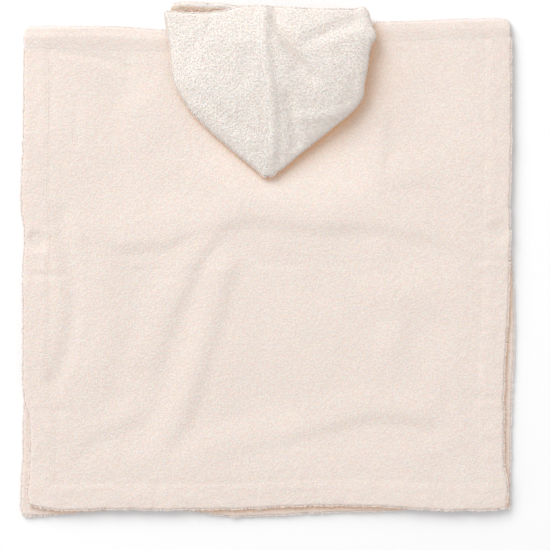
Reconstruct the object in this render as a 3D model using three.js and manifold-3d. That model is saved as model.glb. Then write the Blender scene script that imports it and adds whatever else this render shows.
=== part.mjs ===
// Hooded bath poncho of terry towelling for a small child, seen as it lies flat:
// front panel on the surface, back panel on it, and the hood dropped on the back.
// Millimetres, +Z up, +X to the right and +Y towards the shoulders. The surface is z = 0.

import * as THREE from 'three';
import { mergeVertices } from 'three/addons/utils/BufferGeometryUtils.js';
import Module from 'manifold-3d';

const wasm = await Module();
wasm.setup();

// Cloth
const CLOTH = 3.0;             // one layer of terry with its loops
const HEM_CLOTH = 5.6;         // a turned edge, two layers pressed together
const SEAM_GAP = 0.3;          // between pieces that are sewn or lie on each other
const HEM = 30;                // turned edge of the panels, up to the topstitching
const HOOD_HEM = 12;           // turned face edge of the hood
const HOOD_HEM_EXTRA = 1.8;    // and what its second layer adds to the thickness
const STITCH_DIP = 0.4;        // how far the topstitching pulls the cloth in
const EDGE_ROUND = 1.3;        // rounding of a folded edge
const SLOPE_IN = 45;           // the back panel sinks from its hem to the field over this width

// Body
const HALF = 302;              // half the width of both panels
const BACK_LENGTH = 575;       // from the bottom hem to the shoulder seam
const FRONT_LENGTH = 560;      // from the bottom hem to the front neckline
const STILL_HALF = 200;        // the field is still up to here, and outside it follows its side edge
const FOLLOW = 45;             // over this width
const NECK_HALF = 118;         // half the neck opening, along the shoulders
const FRONT_NECK_Y = 238;      // lowest point of the front neckline
const BACK_NECK_Y = 259;       // lowest point of the back neckline
const SHOULDER_GAP = 0.8;      // between the two layers at the shoulder fold

// Press studs
const STUD_CAP = 6.0;          // radius
const STUD_POST = 1.6;
const STUD_SIDES = 14;
const STUDS = [
  { name: 'left', x: -286.9, y: 33.3 },
  { name: 'right', x: 289.8, y: 44.9 },
];

// Panel outlines. Side edges: x at a height y. Top and bottom edges: y at a place x.
const BACK_LEFT = [
  { at: -299, to: -295.5 }, { at: -285, to: -298.5 }, { at: -240, to: -295.6 }, { at: -190, to: -296.2 },
  { at: -165, to: -302.5 }, { at: -96, to: -303.7 }, { at: -10, to: -304.4 }, { at: 38, to: -301.9 },
  { at: 85, to: -305.6 }, { at: 210, to: -303.1 }, { at: 302, to: -303.1 },
];
const BACK_RIGHT = [
  { at: -302, to: 297.5 }, { at: -280, to: 300.6 }, { at: -250, to: 296.9 }, { at: -190, to: 295.0 },
  { at: -160, to: 295.2 }, { at: -100, to: 297.5 }, { at: -40, to: 300.6 }, { at: 22, to: 303.1 },
  { at: 45, to: 303.7 }, { at: 90, to: 301.9 }, { at: 140, to: 304.4 }, { at: 260, to: 304.4 },
  { at: 310, to: 303.7 },
];
const BACK_BOTTOM = [
  { at: -298, to: -296.5 }, { at: -285, to: -299.0 }, { at: -183, to: -300.8 }, { at: -84, to: -301.2 },
  { at: -9, to: -298.6 }, { at: 91, to: -295.6 }, { at: 166, to: -298.8 }, { at: 191, to: -300.6 },
  { at: 285, to: -301.2 }, { at: 298, to: -299.5 },
];
const FRONT_LEFT = [
  { at: -308, to: -305.5 }, { at: -296, to: -308.1 }, { at: -240, to: -305.2 }, { at: -190, to: -304.4 },
  { at: -140, to: -302.0 }, { at: 38, to: -300.5 }, { at: 210, to: -302.0 }, { at: 302, to: -303.1 },
];
const FRONT_RIGHT = [
  { at: -300, to: 303.0 }, { at: -240, to: 303.7 }, { at: -190, to: 304.6 }, { at: -90, to: 308.1 },
  { at: 0, to: 306.3 }, { at: 45, to: 302.0 }, { at: 140, to: 303.4 }, { at: 310, to: 303.7 },
];
const FRONT_BOTTOM = [
  { at: -307, to: -306.5 }, { at: -296, to: -309.8 }, { at: -265, to: -308.7 }, { at: -221, to: -304.4 },
  { at: -150, to: -299.5 }, { at: -100, to: -303.0 }, { at: -34, to: -310.4 }, { at: 16, to: -308.6 },
  { at: 79, to: -305.0 }, { at: 166, to: -302.6 }, { at: 215, to: -299.2 }, { at: 302, to: -300.0 },
];
const SHOULDER_FOLD = [
  { at: -303, to: 297.5 }, { at: -296, to: 301.9 }, { at: -177, to: 300.6 }, { at: -127, to: 297.2 },
  { at: -118, to: 297.0 }, { at: 118, to: 306.4 }, { at: 172, to: 308.1 }, { at: 291, to: 311.2 },
  { at: 297, to: 310.0 }, { at: 304, to: 304.5 },
];
const SHOULDER_SEAM = [
  { at: -303, to: 275.0 }, { at: -118, to: 271.4 }, { at: 118, to: 283.4 }, { at: 303, to: 288.0 },
];

// Largest folds of the back panel: the crest as a path of x and y, its height, and the width of the
// slope on its left side and on its right side, as one goes along the path.
const FOLDS = [
  { name: 'long diagonal', path: [[-55, -4], [-72, -65], [-90, -127], [-111, -190], [-142, -240],
    [-168, -266]],
    height: 3.4, left: 25, right: 34 },
  { name: 'beside the diagonal', path: [[-52, 62], [-70, 44], [-91, 14], [-107, -21], [-126, -59],
    [-145, -115]],
    height: 2.4, left: 22, right: 44 },
  { name: 'across the middle', path: [[-232, 45], [-182, 34], [-127, 40], [-84, 52], [-22, 72], [46, 61],
    [106, 61], [147, 59], [193, 50], [230, 40], [266, 26]],
    height: 3.0, left: 66, right: 24 },
  { name: 'below the right middle', path: [[138, -25], [200, -30], [258, -37]],
    height: 1.6, left: 45, right: 60 },
  { name: 'right, hanging', path: [[142, 16], [151, -21], [165, -65], [156, -96]],
    height: 1.6, left: 24, right: 30 },
  { name: 'bottom', path: [[-92, -244], [-42, -222], [45, -200], [125, -178], [160, -178], [192, -184]],
    height: 2.7, left: 40, right: 21 },
  { name: 'bottom, rising', path: [[204, -172], [222, -140], [238, -98]],
    height: 1.5, left: 34, right: 24 },
  { name: 'bottom right', path: [[178, -246], [215, -232], [258, -208]],
    height: 2.8, left: 30, right: 19 },
  { name: 'bottom left', path: [[-262, -240], [-222, -208], [-176, -186]],
    height: 2.3, left: 28, right: 21 },
  { name: 'beside the left hem', path: [[-214, 42], [-206, -4], [-202, -80], [-222, -128]],
    height: 2.2, left: 45, right: 24 },
  { name: 'upper right', path: [[160, 112], [216, 125], [272, 135]],
    height: 2.0, left: 40, right: 34 },
  { name: 'right of the tip', path: [[141, 185], [140, 103]],
    height: 2.2, left: 18, right: 45 },
  { name: 'left of the tip', path: [[-146, 203], [-84, 128], [-34, 85]],
    height: 2.4, left: 40, right: 60 },
];
const FOLD_END = 34;           // a fold dies out over this length
const FOLD_START = 22;         // folds begin over this width inside a hem
const FOLD_TOP = 40;           // and over this length below the shoulder seam

// Hood, dropped on the back: a row for each section across it, from the face edge (the mouth) down
// to the tip. left, seam, right: x of the side fold, the centre seam and the other side fold.
// crown: height of the centre seam. leftSide, rightSide: height where the side folds stand out most.
// under: height of the layer that lies on the back. leftFull, rightFull: 1 is a straight slope from
// the seam to the side fold, 2 is a quarter ellipse, more is boxy.
const HOOD = [
  { y: 319, left: -127.2, seam: -8.7, right: 124.7, crown: 30, leftSide: 15, rightSide: 21,
    under: 9.0, leftFull: 1.35, rightFull: 2.2 },
  { y: 302, left: -124.7, seam: -8.7, right: 129.7, crown: 35, leftSide: 14, rightSide: 23,
    under: 8.9, leftFull: 1.4, rightFull: 2.5 },
  { y: 288, left: -122.2, seam: -8.6, right: 134.2, crown: 38, leftSide: 13, rightSide: 24,
    under: 8.8, leftFull: 1.45, rightFull: 2.6 },
  { y: 276, left: -120.3, seam: -8.4, right: 128.5, crown: 39, leftSide: 13, rightSide: 24,
    under: 8.7, leftFull: 1.5, rightFull: 2.7 },
  { y: 266, left: -119.4, seam: -8.0, right: 126.2, crown: 39, leftSide: 13, rightSide: 24,
    under: 8.3, leftFull: 1.5, rightFull: 2.8 },
  { y: 253, left: -118.5, seam: -7.5, right: 124.7, crown: 39, leftSide: 13, rightSide: 24,
    under: 8.1, leftFull: 1.5, rightFull: 2.8 },
  { y: 227, left: -113.5, seam: -2.0, right: 119.8, crown: 38, leftSide: 13, rightSide: 23,
    under: 8.1, leftFull: 1.6, rightFull: 2.6 },
  { y: 212, left: -104.8, seam: 0.4, right: 118.0, crown: 37, leftSide: 13, rightSide: 22,
    under: 8.1, leftFull: 1.7, rightFull: 2.3 },
  { y: 197, left: -94.8, seam: 1.2, right: 107.3, crown: 35, leftSide: 13, rightSide: 21,
    under: 8.1, leftFull: 1.8, rightFull: 2.0 },
  { y: 176, left: -74.8, seam: 1.2, right: 82.3, crown: 31, leftSide: 13, rightSide: 19,
    under: 8.2, leftFull: 1.8, rightFull: 1.8 },
  { y: 157, left: -53.6, seam: 1.0, right: 58.6, crown: 27, leftSide: 13, rightSide: 17,
    under: 8.6, leftFull: 1.8, rightFull: 1.7 },
  { y: 140, left: -33.8, seam: 0.4, right: 37.2, crown: 22, leftSide: 14, rightSide: 16,
    under: 9.6, leftFull: 1.9, rightFull: 1.8 },
  { y: 126, left: -16.4, seam: 0.2, right: 20.5, crown: 18.5, leftSide: 14.5, rightSide: 15,
    under: 10.8, leftFull: 2.0, rightFull: 2.0 },
  { y: 119, left: -8.2, seam: 0.8, right: 10.8, crown: 17, leftSide: 14.5, rightSide: 14.5,
    under: 11.6, leftFull: 2.0, rightFull: 2.0 },
];
const TIP = { y: 114.0, x: 1.2, z: 14.4, wall: 3.2 };
const MOUTH_FROM = 276;        // from this y on the sections bend with the face edge
const SIDE_ROUND = 0.6;        // widest rounding of a side fold, as a share of the half width
const CREASE_END = 20;         // a trough dies out over this length
const LOW_CROWN = { from: 6, over: 8 };          // ridge and troughs fade where the crown is this low
const LIP_FADE = { from: 0.4, over: 30 };        // the ridge is lower at the face edge
const NEAR_LIP = [             // y of the face edge that lies on top
  { at: -127, to: 319.3 }, { at: -103, to: 316.3 }, { at: -75, to: 315.3 }, { at: -50, to: 318.1 },
  { at: -32, to: 322.5 }, { at: -9, to: 323.1 }, { at: 25, to: 321.5 }, { at: 67, to: 319.7 },
  { at: 106, to: 319.7 }, { at: 119, to: 322.6 }, { at: 127, to: 317.0 },
];
const FAR_LIP = [              // y of the face edge that lies below it, under the chin
  { at: -124, to: 324.7 }, { at: -118, to: 328.1 }, { at: -82, to: 329.6 }, { at: -56, to: 328.3 },
  { at: -38, to: 325.7 }, { at: -9, to: 320.0 }, { at: 60, to: 316.5 }, { at: 124, to: 315.0 },
];
// The allowances of the centre seam are pressed to the right and lift the crown beside it.
const SEAM_RIDGE = { height: 3.6, half: 12 };
const RIDGE_CREST = [          // x of the ridge at a height y
  { at: 130, to: 5 }, { at: 170, to: 7 }, { at: 208, to: 5 }, { at: 246, to: 0 }, { at: 282, to: -4 },
  { at: 319, to: -5 },
];
const HOOD_CREASES = [         // troughs in the crown of the right half, x and y along each
  { name: 'beside the seam', path: [[11, 314], [18, 293], [38, 266], [62, 242]], depth: 4.5, half: 17 },
  { name: 'above the tip', path: [[17, 206], [22, 184], [27, 158]], depth: 4.0, half: 15 },
  { name: 'at the right lip', path: [[56, 282], [80, 293], [106, 303]], depth: 3.0, half: 15 },
];

// Colours
const BLUSH = 0xf0e3da;
const BLUSH_HOOD = 0xf0e7e1;
const BLUSH_CAP = 0xead9cd;

const { clamp, lerp } = THREE.MathUtils;
const smooth = (t) => THREE.MathUtils.smoothstep(t, 0, 1);

// Value of a table at a place, straight between its rows.
function along(rows, at, place = 'at', value = 'to') {
  const rising = rows[rows.length - 1][place] > rows[0][place];
  const ordered = rising ? rows : [...rows].reverse();
  const k = ordered.findIndex((row) => row[place] >= at);
  if (k === 0) return ordered[0][value];
  if (k < 0) return ordered[ordered.length - 1][value];
  const [low, high] = [ordered[k - 1], ordered[k]];
  return lerp(low[value], high[value], (at - low[place]) / (high[place] - low[place]));
}

// Signed distance from a point to a path (left of it is positive) and how far past its ends it lies.
function beside(path, x, y) {
  let best = { distance: Infinity, past: 0 };
  for (let k = 0; k + 1 < path.length; k += 1) {
    const [ax, ay] = path[k];
    const [dx, dy] = [path[k + 1][0] - ax, path[k + 1][1] - ay];
    const length = Math.hypot(dx, dy);
    const run = ((x - ax) * dx + (y - ay) * dy) / length;
    const side = (dx * (y - ay) - dy * (x - ax)) / length;
    const outside = run - clamp(run, 0, length);
    const atEnd = (k === 0 && run < 0) || (k + 2 === path.length && run > length);
    const past = atEnd ? Math.abs(outside) : 0;
    const distance = atEnd ? Math.abs(side) : Math.hypot(side, outside);
    if (distance + past < best.distance + best.past) {
      best = { distance, past, side: side < 0 ? -1 : 1 };
    }
  }
  return best;
}

const bell = (t) => (Math.abs(t) >= 1 ? 0 : 0.5 + 0.5 * Math.cos(Math.PI * t));

// Height of the folds at a place. Where two meet, the higher one wins, with a soft passage between.
function foldHeight(x, y) {
  let sum = 0;
  for (const fold of FOLDS) {
    const { distance, past, side } = beside(fold.path, x, y);
    const width = side > 0 ? fold.left : fold.right;
    sum += (fold.height * bell(distance / width) * bell(past / FOLD_END)) ** 4;
  }
  return sum ** 0.25;
}

// Closed wall between two faces that are given point by point on one grid. has tells which cells
// of the grid hold cloth. Rims are added wherever a cell ends.
function wall({ columns, rows, outer, inner, has = () => true }) {
  const positions = [];
  const known = new Map();
  const corner = (face, i, j) => {
    const p = face(i, j);
    const key = p.map((value) => Math.round(value * 1e4)).join();
    if (!known.has(key)) {
      known.set(key, positions.length / 3);
      positions.push(...p);
    }
    return known.get(key);
  };
  const index = [];
  const triangle = (a, b, c) => {
    if (a !== b && b !== c && c !== a) index.push(a, b, c);
  };
  const quad = (a, b, c, d) => {
    triangle(a, b, c);
    triangle(a, c, d);
  };
  const filled = (i, j) => i >= 0 && j >= 0 && i < columns - 1 && j < rows - 1 && has(i, j);
  for (let j = 0; j < rows - 1; j += 1) {
    for (let i = 0; i < columns - 1; i += 1) {
      if (!filled(i, j)) continue;
      const ring = [[i, j], [i + 1, j], [i + 1, j + 1], [i, j + 1]];
      const out = ring.map(([p, q]) => corner(outer, p, q));
      const back = ring.map(([p, q]) => corner(inner, p, q));
      quad(...out);
      quad(back[3], back[2], back[1], back[0]);
      const beyond = [filled(i, j - 1), filled(i + 1, j), filled(i, j + 1), filled(i - 1, j)];
      beyond.forEach((cloth, k) => {
        const next = (k + 1) % 4;
        if (!cloth) quad(out[k], back[k], back[next], out[next]);
      });
    }
  }
  const geometry = new THREE.BufferGeometry();
  geometry.setAttribute('position', new THREE.Float32BufferAttribute(positions, 3));
  geometry.setIndex(index);
  return geometry;
}

function toSolid(geometry) {
  const bare = geometry.clone();
  bare.deleteAttribute('normal');
  bare.deleteAttribute('uv');
  const merged = mergeVertices(bare, 1e-4);
  return new wasm.Manifold(new wasm.Mesh({
    numProp: 3,
    vertProperties: new Float32Array(merged.attributes.position.array),
    triVerts: new Uint32Array(merged.index.array),
  }));
}

function toGeometry(solid) {
  const mesh = solid.getMesh();
  const geometry = new THREE.BufferGeometry();
  geometry.setAttribute('position', new THREE.BufferAttribute(mesh.vertProperties, 3));
  geometry.setIndex(new THREE.BufferAttribute(mesh.triVerts, 1));
  return geometry;
}

// Places along one side of a panel: close together in the hem at each end, even between them.
const FIELD_EDGE = 55;
const HEM_STATIONS = [0, 3, 12, 24, HEM, 38, FIELD_EDGE];
const between = (from, to, count) => (
  Array.from({ length: count }, (_, k) => lerp(from, to, (k + 1) / (count + 1)))
);
const fromBothSides = (field) => (
  [...HEM_STATIONS, ...field, ...HEM_STATIONS.map((value) => 2 * HALF - value).reverse()]
);

// Place across a panel after its side edge has moved from its straight line: the hem moves with the
// edge, and the middle stays.
function shifted(x, y, left, right) {
  const move = x < 0 ? along(left, y) + HALF : along(right, y) - HALF;
  return x + move * clamp((Math.abs(x) - STILL_HALF) / FOLLOW, 0, 1);
}

// Height in y of a neckline: a shallow scoop between the inner ends of the shoulder seams, and the
// shoulder seam itself outside it.
function neckY(x, lowest) {
  if (Math.abs(x) >= NECK_HALF) return along(SHOULDER_SEAM, x);
  const end = along(SHOULDER_SEAM, x < 0 ? -NECK_HALF : NECK_HALF);
  return lerp(lowest, end, (x / NECK_HALF) ** 2);
}

// Extra cloth of a hem, and the rounding at its edge, by the distance from that edge.
const UNDER_ROUND = 0.4;       // the lower corner is rounded by this share of the upper one
const hemShare = (distance) => 1 - smooth((distance - HEM) / 6);
const edgeRound = (distance) => EDGE_ROUND * (1 - smooth(distance / 4));
const stitchDip = (distance) => STITCH_DIP * bell((distance - HEM) / 7);

// The back panel lies on the front panel: high on its hems, low in the field, and folded there.
const BACK_COLUMNS = 21;
const BACK_ROWS = 21;
const BACK_TOP_ROW = 8;        // the last row but one, below the shoulder seam
function backPanel() {
  const across = fromBothSides(between(FIELD_EDGE, 2 * HALF - FIELD_EDGE, BACK_COLUMNS));
  const topRow = BACK_LENGTH - BACK_TOP_ROW;
  const down = [...HEM_STATIONS, ...between(FIELD_EDGE, topRow, BACK_ROWS), topRow, BACK_LENGTH];
  const point = (i, j) => {
    const roughX = across[i] - HALF;
    const bottom = along(BACK_BOTTOM, roughX);
    const neck = neckY(roughX, BACK_NECK_Y) - SEAM_GAP;
    const y = lerp(bottom, neck, down[j] / BACK_LENGTH);
    const x = shifted(roughX, y, BACK_LEFT, BACK_RIGHT);
    const side = Math.min(across[i], 2 * HALF - across[i]);
    const edge = Math.min(side, down[j]);
    const lift = 1 - smooth((edge - HEM - 6) / SLOPE_IN);
    const quiet = smooth((edge - HEM) / FOLD_START) * smooth((BACK_LENGTH - down[j]) / FOLD_TOP);
    const field = CLOTH + SEAM_GAP + foldHeight(x, y) * quiet;
    const top = lerp(field + CLOTH, 2 * HEM_CLOTH + SEAM_GAP, lift) - stitchDip(edge);
    const thick = lerp(CLOTH, HEM_CLOTH, hemShare(edge)) - stitchDip(edge);
    const round = edgeRound(edge);
    return { high: [x, y, top - round], low: [x, y, top - thick + round * UNDER_ROUND] };
  };
  return wall({
    columns: across.length,
    rows: down.length,
    outer: (i, j) => point(i, j).high,
    inner: (i, j) => point(i, j).low,
  });
}

const NECK_PLACES = [-NECK_HALF, -100, -82, -45, 0, 45, 82, 100, NECK_HALF];
const FRONT_NECK = NECK_PLACES.map((x) => {
  const end = along(SHOULDER_FOLD, x < 0 ? -NECK_HALF : NECK_HALF) - CLOTH - SHOULDER_GAP / 2;
  return { at: x, to: lerp(FRONT_NECK_Y, end, (Math.abs(x) / NECK_HALF) ** 2.4) };
});

// The front panel lies on the surface, turns at the shoulder fold and comes back to the seam.
const FRONT_FIELD_X = [-210, -165, ...NECK_PLACES, 165, 210];
const FRONT_FIELD_Y = [110, 175, 250, 340, 430, 500];
const TURN_STEPS = 5;
const STRIP_STEPS = 3;
function frontPanel() {
  const across = fromBothSides(FRONT_FIELD_X.map((x) => x + HALF));
  const lying = [...HEM_STATIONS, ...FRONT_FIELD_Y];
  const turn = lying.length;
  const lastTurn = turn + TURN_STEPS;
  const point = (i, j) => {
    const roughX = across[i] - HALF;
    const side = Math.min(across[i], 2 * HALF - across[i]);
    const hem = hemShare(side);
    const thick = lerp(CLOTH, HEM_CLOTH, hem);
    const gap = lerp(SHOULDER_GAP, SEAM_GAP, hem);
    const radius = thick + gap / 2;
    const fold = along(SHOULDER_FOLD, roughX);
    const neck = Math.abs(roughX) < NECK_HALF ? along(FRONT_NECK, roughX) : fold - radius;
    const at = (y, z) => [shifted(roughX, y, FRONT_LEFT, FRONT_RIGHT), y, z];
    if (j < turn) {
      const y = lerp(along(FRONT_BOTTOM, roughX), neck, lying[j] / FRONT_LENGTH);
      const edge = Math.min(side, lying[j]);
      const round = edgeRound(edge);
      return {
        low: at(y, round * UNDER_ROUND),
        high: at(y, lerp(CLOTH, HEM_CLOTH, hemShare(edge)) - round),
      };
    }
    const round = edgeRound(side);
    const [big, small] = [radius - round * UNDER_ROUND, gap / 2 + round * (1 - UNDER_ROUND)];
    if (j === turn) {
      return { low: at(neck, radius - big), high: at(neck, radius - small) };
    }
    if (j <= lastTurn) {
      const angle = (Math.PI * (j - turn)) / TURN_STEPS;
      const onArc = (reach) => at(fold - radius + reach * Math.sin(angle), radius - reach * Math.cos(angle));
      return { low: onArc(big), high: onArc(small) };
    }
    const share = (j - lastTurn) / STRIP_STEPS;
    const y = lerp(fold - radius, along(SHOULDER_SEAM, roughX), share);
    const top = lerp(2 * radius, 2 * thick + SEAM_GAP, share) - (share === 1 ? STITCH_DIP : 0);
    return { low: at(y, top - round), high: at(y, top - thick + round * (1 - UNDER_ROUND)) };
  };
  const isNeck = (i) => Math.abs((across[i] + across[i + 1]) / 2 - HALF) < NECK_HALF;
  return wall({
    columns: across.length,
    rows: lastTurn + STRIP_STEPS + 1,
    outer: (i, j) => point(i, j).high,
    inner: (i, j) => point(i, j).low,
    has: (i, j) => j < turn || !isNeck(i),
  });
}

// How far from the middle the neck opening reaches at a height y, and 0 below it.
function neckReach(y, sign) {
  if (y <= BACK_NECK_Y + 3) return 0;
  const end = along(SHOULDER_SEAM, sign * NECK_HALF);
  return NECK_HALF * Math.sqrt(Math.min(1, (y - BACK_NECK_Y) / (end - BACK_NECK_Y)));
}

// One half of the hood is a tube cut into sections. Each goes from the centre seam over the crown,
// round the side fold and back along the nape to the centre seam again, or to the neck opening.
const CROWN_STEPS = 9;
const SIDE_STEPS = 3;
const NAPE_STEPS = 4;
const HOOD_ROWS = [319, 313, 307, 302, 288, 276, 270, 264, 253, 240, 227, 212, 197, 186, 176,
  166, 157, 148, 140, 133, 126, 119];
const LIP_Y = HOOD_ROWS[0];
const sideSign = (side) => (side === 'left' ? -1 : 1);
const hoodAt = (y, value) => along(HOOD, y, 'y', value);

function hoodSection(side, y) {
  const sign = sideSign(side);
  const seam = hoodAt(y, 'seam');
  const edge = hoodAt(y, side) - (sign * CLOTH) / 2;
  const reach = Math.abs(edge - seam);
  const crown = hoodAt(y, 'crown');
  const middle = hoodAt(y, `${side}Side`);
  const under = hoodAt(y, 'under');
  const power = hoodAt(y, `${side}Full`);
  const points = [];
  for (let k = 0; k < CROWN_STEPS; k += 1) {
    const angle = (Math.PI / 2) * (k / CROWN_STEPS);
    const share = Math.sin(angle) ** (2 / power);
    points.push([seam + sign * reach * share, middle + (crown - middle) * Math.cos(angle) ** (2 / power)]);
  }
  const radius = Math.min(middle - under, reach * SIDE_ROUND);
  for (let k = 0; k <= SIDE_STEPS; k += 1) {
    const angle = (Math.PI / 2) * (k / SIDE_STEPS);
    points.push([edge - sign * radius * (1 - Math.cos(angle)), middle - (middle - under) * Math.sin(angle)]);
  }
  const neck = neckReach(y, sign);
  const start = edge - sign * radius;
  const end = neck > 0 ? sign * Math.min(neck, Math.abs(start) - 1) : seam;
  for (let k = 1; k <= NAPE_STEPS; k += 1) {
    points.push([lerp(start, end, k / NAPE_STEPS), under]);
  }
  return { points, seam, closed: neck === 0 };
}

// Direction out of the cloth at a point of a section, in x and z.
function sectionNormal(points, k, sign) {
  if (k === 0) return [0, 1];
  if (k === points.length - 1) return [0, -1];
  const [ax, az] = points[k - 1];
  const [bx, bz] = points[k + 1];
  const length = Math.hypot(bx - ax, bz - az);
  return [(-sign * (bz - az)) / length, (sign * (bx - ax)) / length];
}

// What the sewing and the creases add to the height of the crown. They fade where it is low.
function crownRelief(side, x, y, rowY, level, fromLip) {
  const room = smooth((level - hoodAt(rowY, 'under') - LOW_CROWN.from) / LOW_CROWN.over);
  const lipFade = smooth(fromLip / LIP_FADE.over + LIP_FADE.from);
  const fromCrest = Math.abs(x - along(RIDGE_CREST, rowY));
  let relief = SEAM_RIDGE.height * bell(fromCrest / SEAM_RIDGE.half) * room * lipFade;
  if (side === 'right') {
    for (const crease of HOOD_CREASES) {
      const { distance, past } = beside(crease.path, x, y);
      relief -= crease.depth * bell(distance / crease.half) * bell(past / CREASE_END) * room;
    }
  }
  return relief - STITCH_DIP * bell((fromLip - HOOD_HEM) / 6);
}

function hoodShell(side) {
  const sign = sideSign(side);
  const columns = CROWN_STEPS + SIDE_STEPS + NAPE_STEPS + 1;
  const sections = HOOD_ROWS.map((y) => hoodSection(side, y));
  const place = (i, j, face) => {
    if (j === HOOD_ROWS.length) {
      return [TIP.x + (sign * SEAM_GAP) / 2, TIP.y + (face > 0 ? 0 : TIP.wall), TIP.z];
    }
    const { points, seam, closed } = sections[j];
    const rowY = HOOD_ROWS[j];
    const [x, level] = points[i];
    const onTop = i <= CROWN_STEPS + 1;
    const lip = along(NEAR_LIP, x);
    const bend = onTop ? smooth((rowY - MOUTH_FROM) / (LIP_Y - MOUTH_FROM)) : 0;
    const y = rowY + (lip - LIP_Y) * bend;
    const fromLip = lip - y;
    const z = i < CROWN_STEPS ? level + crownRelief(side, x, y, rowY, level, fromLip) : level;
    const hem = onTop ? 1 - smooth((fromLip - HOOD_HEM) / 4) : 0;
    const shift = face > 0 ? CLOTH / 2 : -CLOTH / 2 - hem * HOOD_HEM_EXTRA;
    const [nx, nz] = sectionNormal(points, i, sign);
    const atSeam = i === 0 || (closed && i === columns - 1);
    return [atSeam ? seam + (sign * SEAM_GAP) / 2 : x + nx * shift, y, z + nz * shift];
  };
  const shell = wall({
    columns,
    rows: HOOD_ROWS.length + 1,
    outer: (i, j) => place(i, j, 1),
    inner: (i, j) => place(i, j, -1),
  });
  return side === 'left' ? shell : flipped(shell);
}

function flipped(geometry) {
  const turned = geometry.clone();
  const index = Array.from(turned.index.array);
  for (let k = 0; k < index.length; k += 3) {
    [index[k], index[k + 1]] = [index[k + 1], index[k]];
  }
  turned.setIndex(index);
  return turned;
}

// The hood's chin part: sewn to the front neckline, it comes up through the neck opening and lies
// over the shoulder fold as the far lip of the mouth. It ends just inside the faces of the lower
// layer, which it joins.
const CHIN_START = 6;          // it starts to rise this far beyond the back neckline
const CHIN_RISE = [0, 4, 8, 12, 16];
const CHIN_INSET = 7.5;        // it joins the side fold this far inside the hood's outline
const CHIN_CLEAR = 1;          // beside the neck it starts this far above the shoulder fold
const CHIN_APART = 0.4;        // least distance between its rows
const CHIN_INSIDE = 0.1;       // it is thinner than the lower layer by this much at each face
const CHIN_LEVEL_Y = 302;      // it comes to the height that the lower layer has here
const CHIN_PLACES = { left: [-45, -82, -100], right: [0, 45, 82, 100] };
function hoodChin(side) {
  const sign = sideSign(side);
  const outermost = Math.max(Math.abs(HOOD[0][side]) - CHIN_INSET, NECK_HALF + 2 * SEAM_GAP);
  const columns = [HOOD[0].seam + (sign * SEAM_GAP) / 2, ...CHIN_PLACES[side],
    sign * (NECK_HALF - SEAM_GAP), sign * outermost];
  const rim = (x) => neckY(x, BACK_NECK_Y) + CHIN_START;
  const rise = CHIN_RISE[CHIN_RISE.length - 1];
  const rows = columns.map((x, i) => {
    const besideNeck = i === columns.length - 1;
    const low = besideNeck ? along(SHOULDER_FOLD, x) + CHIN_CLEAR : along(FRONT_NECK, x) + SEAM_GAP;
    const lip = along(FAR_LIP, x);
    const raw = [low, ...CHIN_RISE.map((value) => rim(x) + value), lip - HOOD_HEM - 5, lip - HOOD_HEM, lip];
    return raw.map((y, k) => Math.max(y, low + CHIN_APART * k));
  });
  const point = (i, j) => {
    const x = columns[i];
    const y = rows[i][j];
    const low = lerp(0, hoodAt(CHIN_LEVEL_Y, 'under') - CLOTH / 2 + CHIN_INSIDE, smooth((y - rim(x)) / rise));
    const hem = 1 - smooth((along(FAR_LIP, x) - y - HOOD_HEM) / 4);
    return { low: [x, y, low], high: [x, y, low + CLOTH - 2 * CHIN_INSIDE + hem * HOOD_HEM_EXTRA] };
  };
  const sheet = wall({
    columns: columns.length,
    rows: rows[0].length,
    outer: (i, j) => point(i, j).high,
    inner: (i, j) => point(i, j).low,
  });
  return side === 'left' ? flipped(sheet) : sheet;
}

function hoodHalf(side) {
  return toGeometry(toSolid(hoodShell(side)).add(toSolid(hoodChin(side))));
}

// Press studs, turned about their axis. Heights are above the surface.
const turned = (profile) => {
  const points = profile.map(([radius, height]) => new THREE.Vector2(radius, height));
  return new THREE.LatheGeometry(points, STUD_SIDES).rotateX(Math.PI / 2);
};
const backStud = () => turned([
  [0, 5.3], [2.5, 5.3], [2.5, 4.2], [4.6, 4.2], [4.6, 6.0], [STUD_POST, 6.0], [STUD_POST, 8.2],
  [STUD_CAP, 8.2], [STUD_CAP, 8.9], [5.2, 9.5], [0, 9.7],
]);
const frontStud = () => turned([
  [0, 0.2], [5.2, 0.2], [STUD_CAP, 0.6], [STUD_CAP, 1.2], [STUD_POST, 1.2], [STUD_POST, 3.1],
  [4.4, 3.1], [4.4, 3.9], [2.2, 3.9], [2.2, 4.8], [1.6, 5.0], [0, 5.0],
]);
// The room that a stud presses into the hem round it, and the hole for its post.
const backPress = () => turned([
  [0, 3], [5.0, 3], [5.0, 6.3], [1.9, 6.3], [1.9, 7.9], [6.4, 7.9], [8.5, 8.8], [13, 11.7], [13, 16], [0, 16],
]);
const frontPress = () => turned([
  [0, -3], [6.3, -3], [6.3, 1.5], [1.9, 1.5], [1.9, 2.8], [5.0, 2.8], [9, 5.8], [9, 9], [0, 9],
]);

function pressed(panel, press) {
  let solid = toSolid(panel);
  for (const stud of STUDS) {
    solid = solid.subtract(toSolid(press().translate(stud.x, stud.y, 0)));
  }
  return toGeometry(solid);
}

const cloth = new THREE.MeshStandardMaterial({ color: BLUSH, roughness: 0.95, metalness: 0 });
const hoodCloth = new THREE.MeshStandardMaterial({ color: BLUSH_HOOD, roughness: 0.95, metalness: 0 });
const resin = new THREE.MeshStandardMaterial({ color: BLUSH_CAP, roughness: 0.45, metalness: 0 });

const poncho = new THREE.Group();
function piece(name, geometry, material) {
  const mesh = new THREE.Mesh(geometry, material);
  mesh.name = name;
  poncho.add(mesh);
  return mesh;
}

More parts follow.
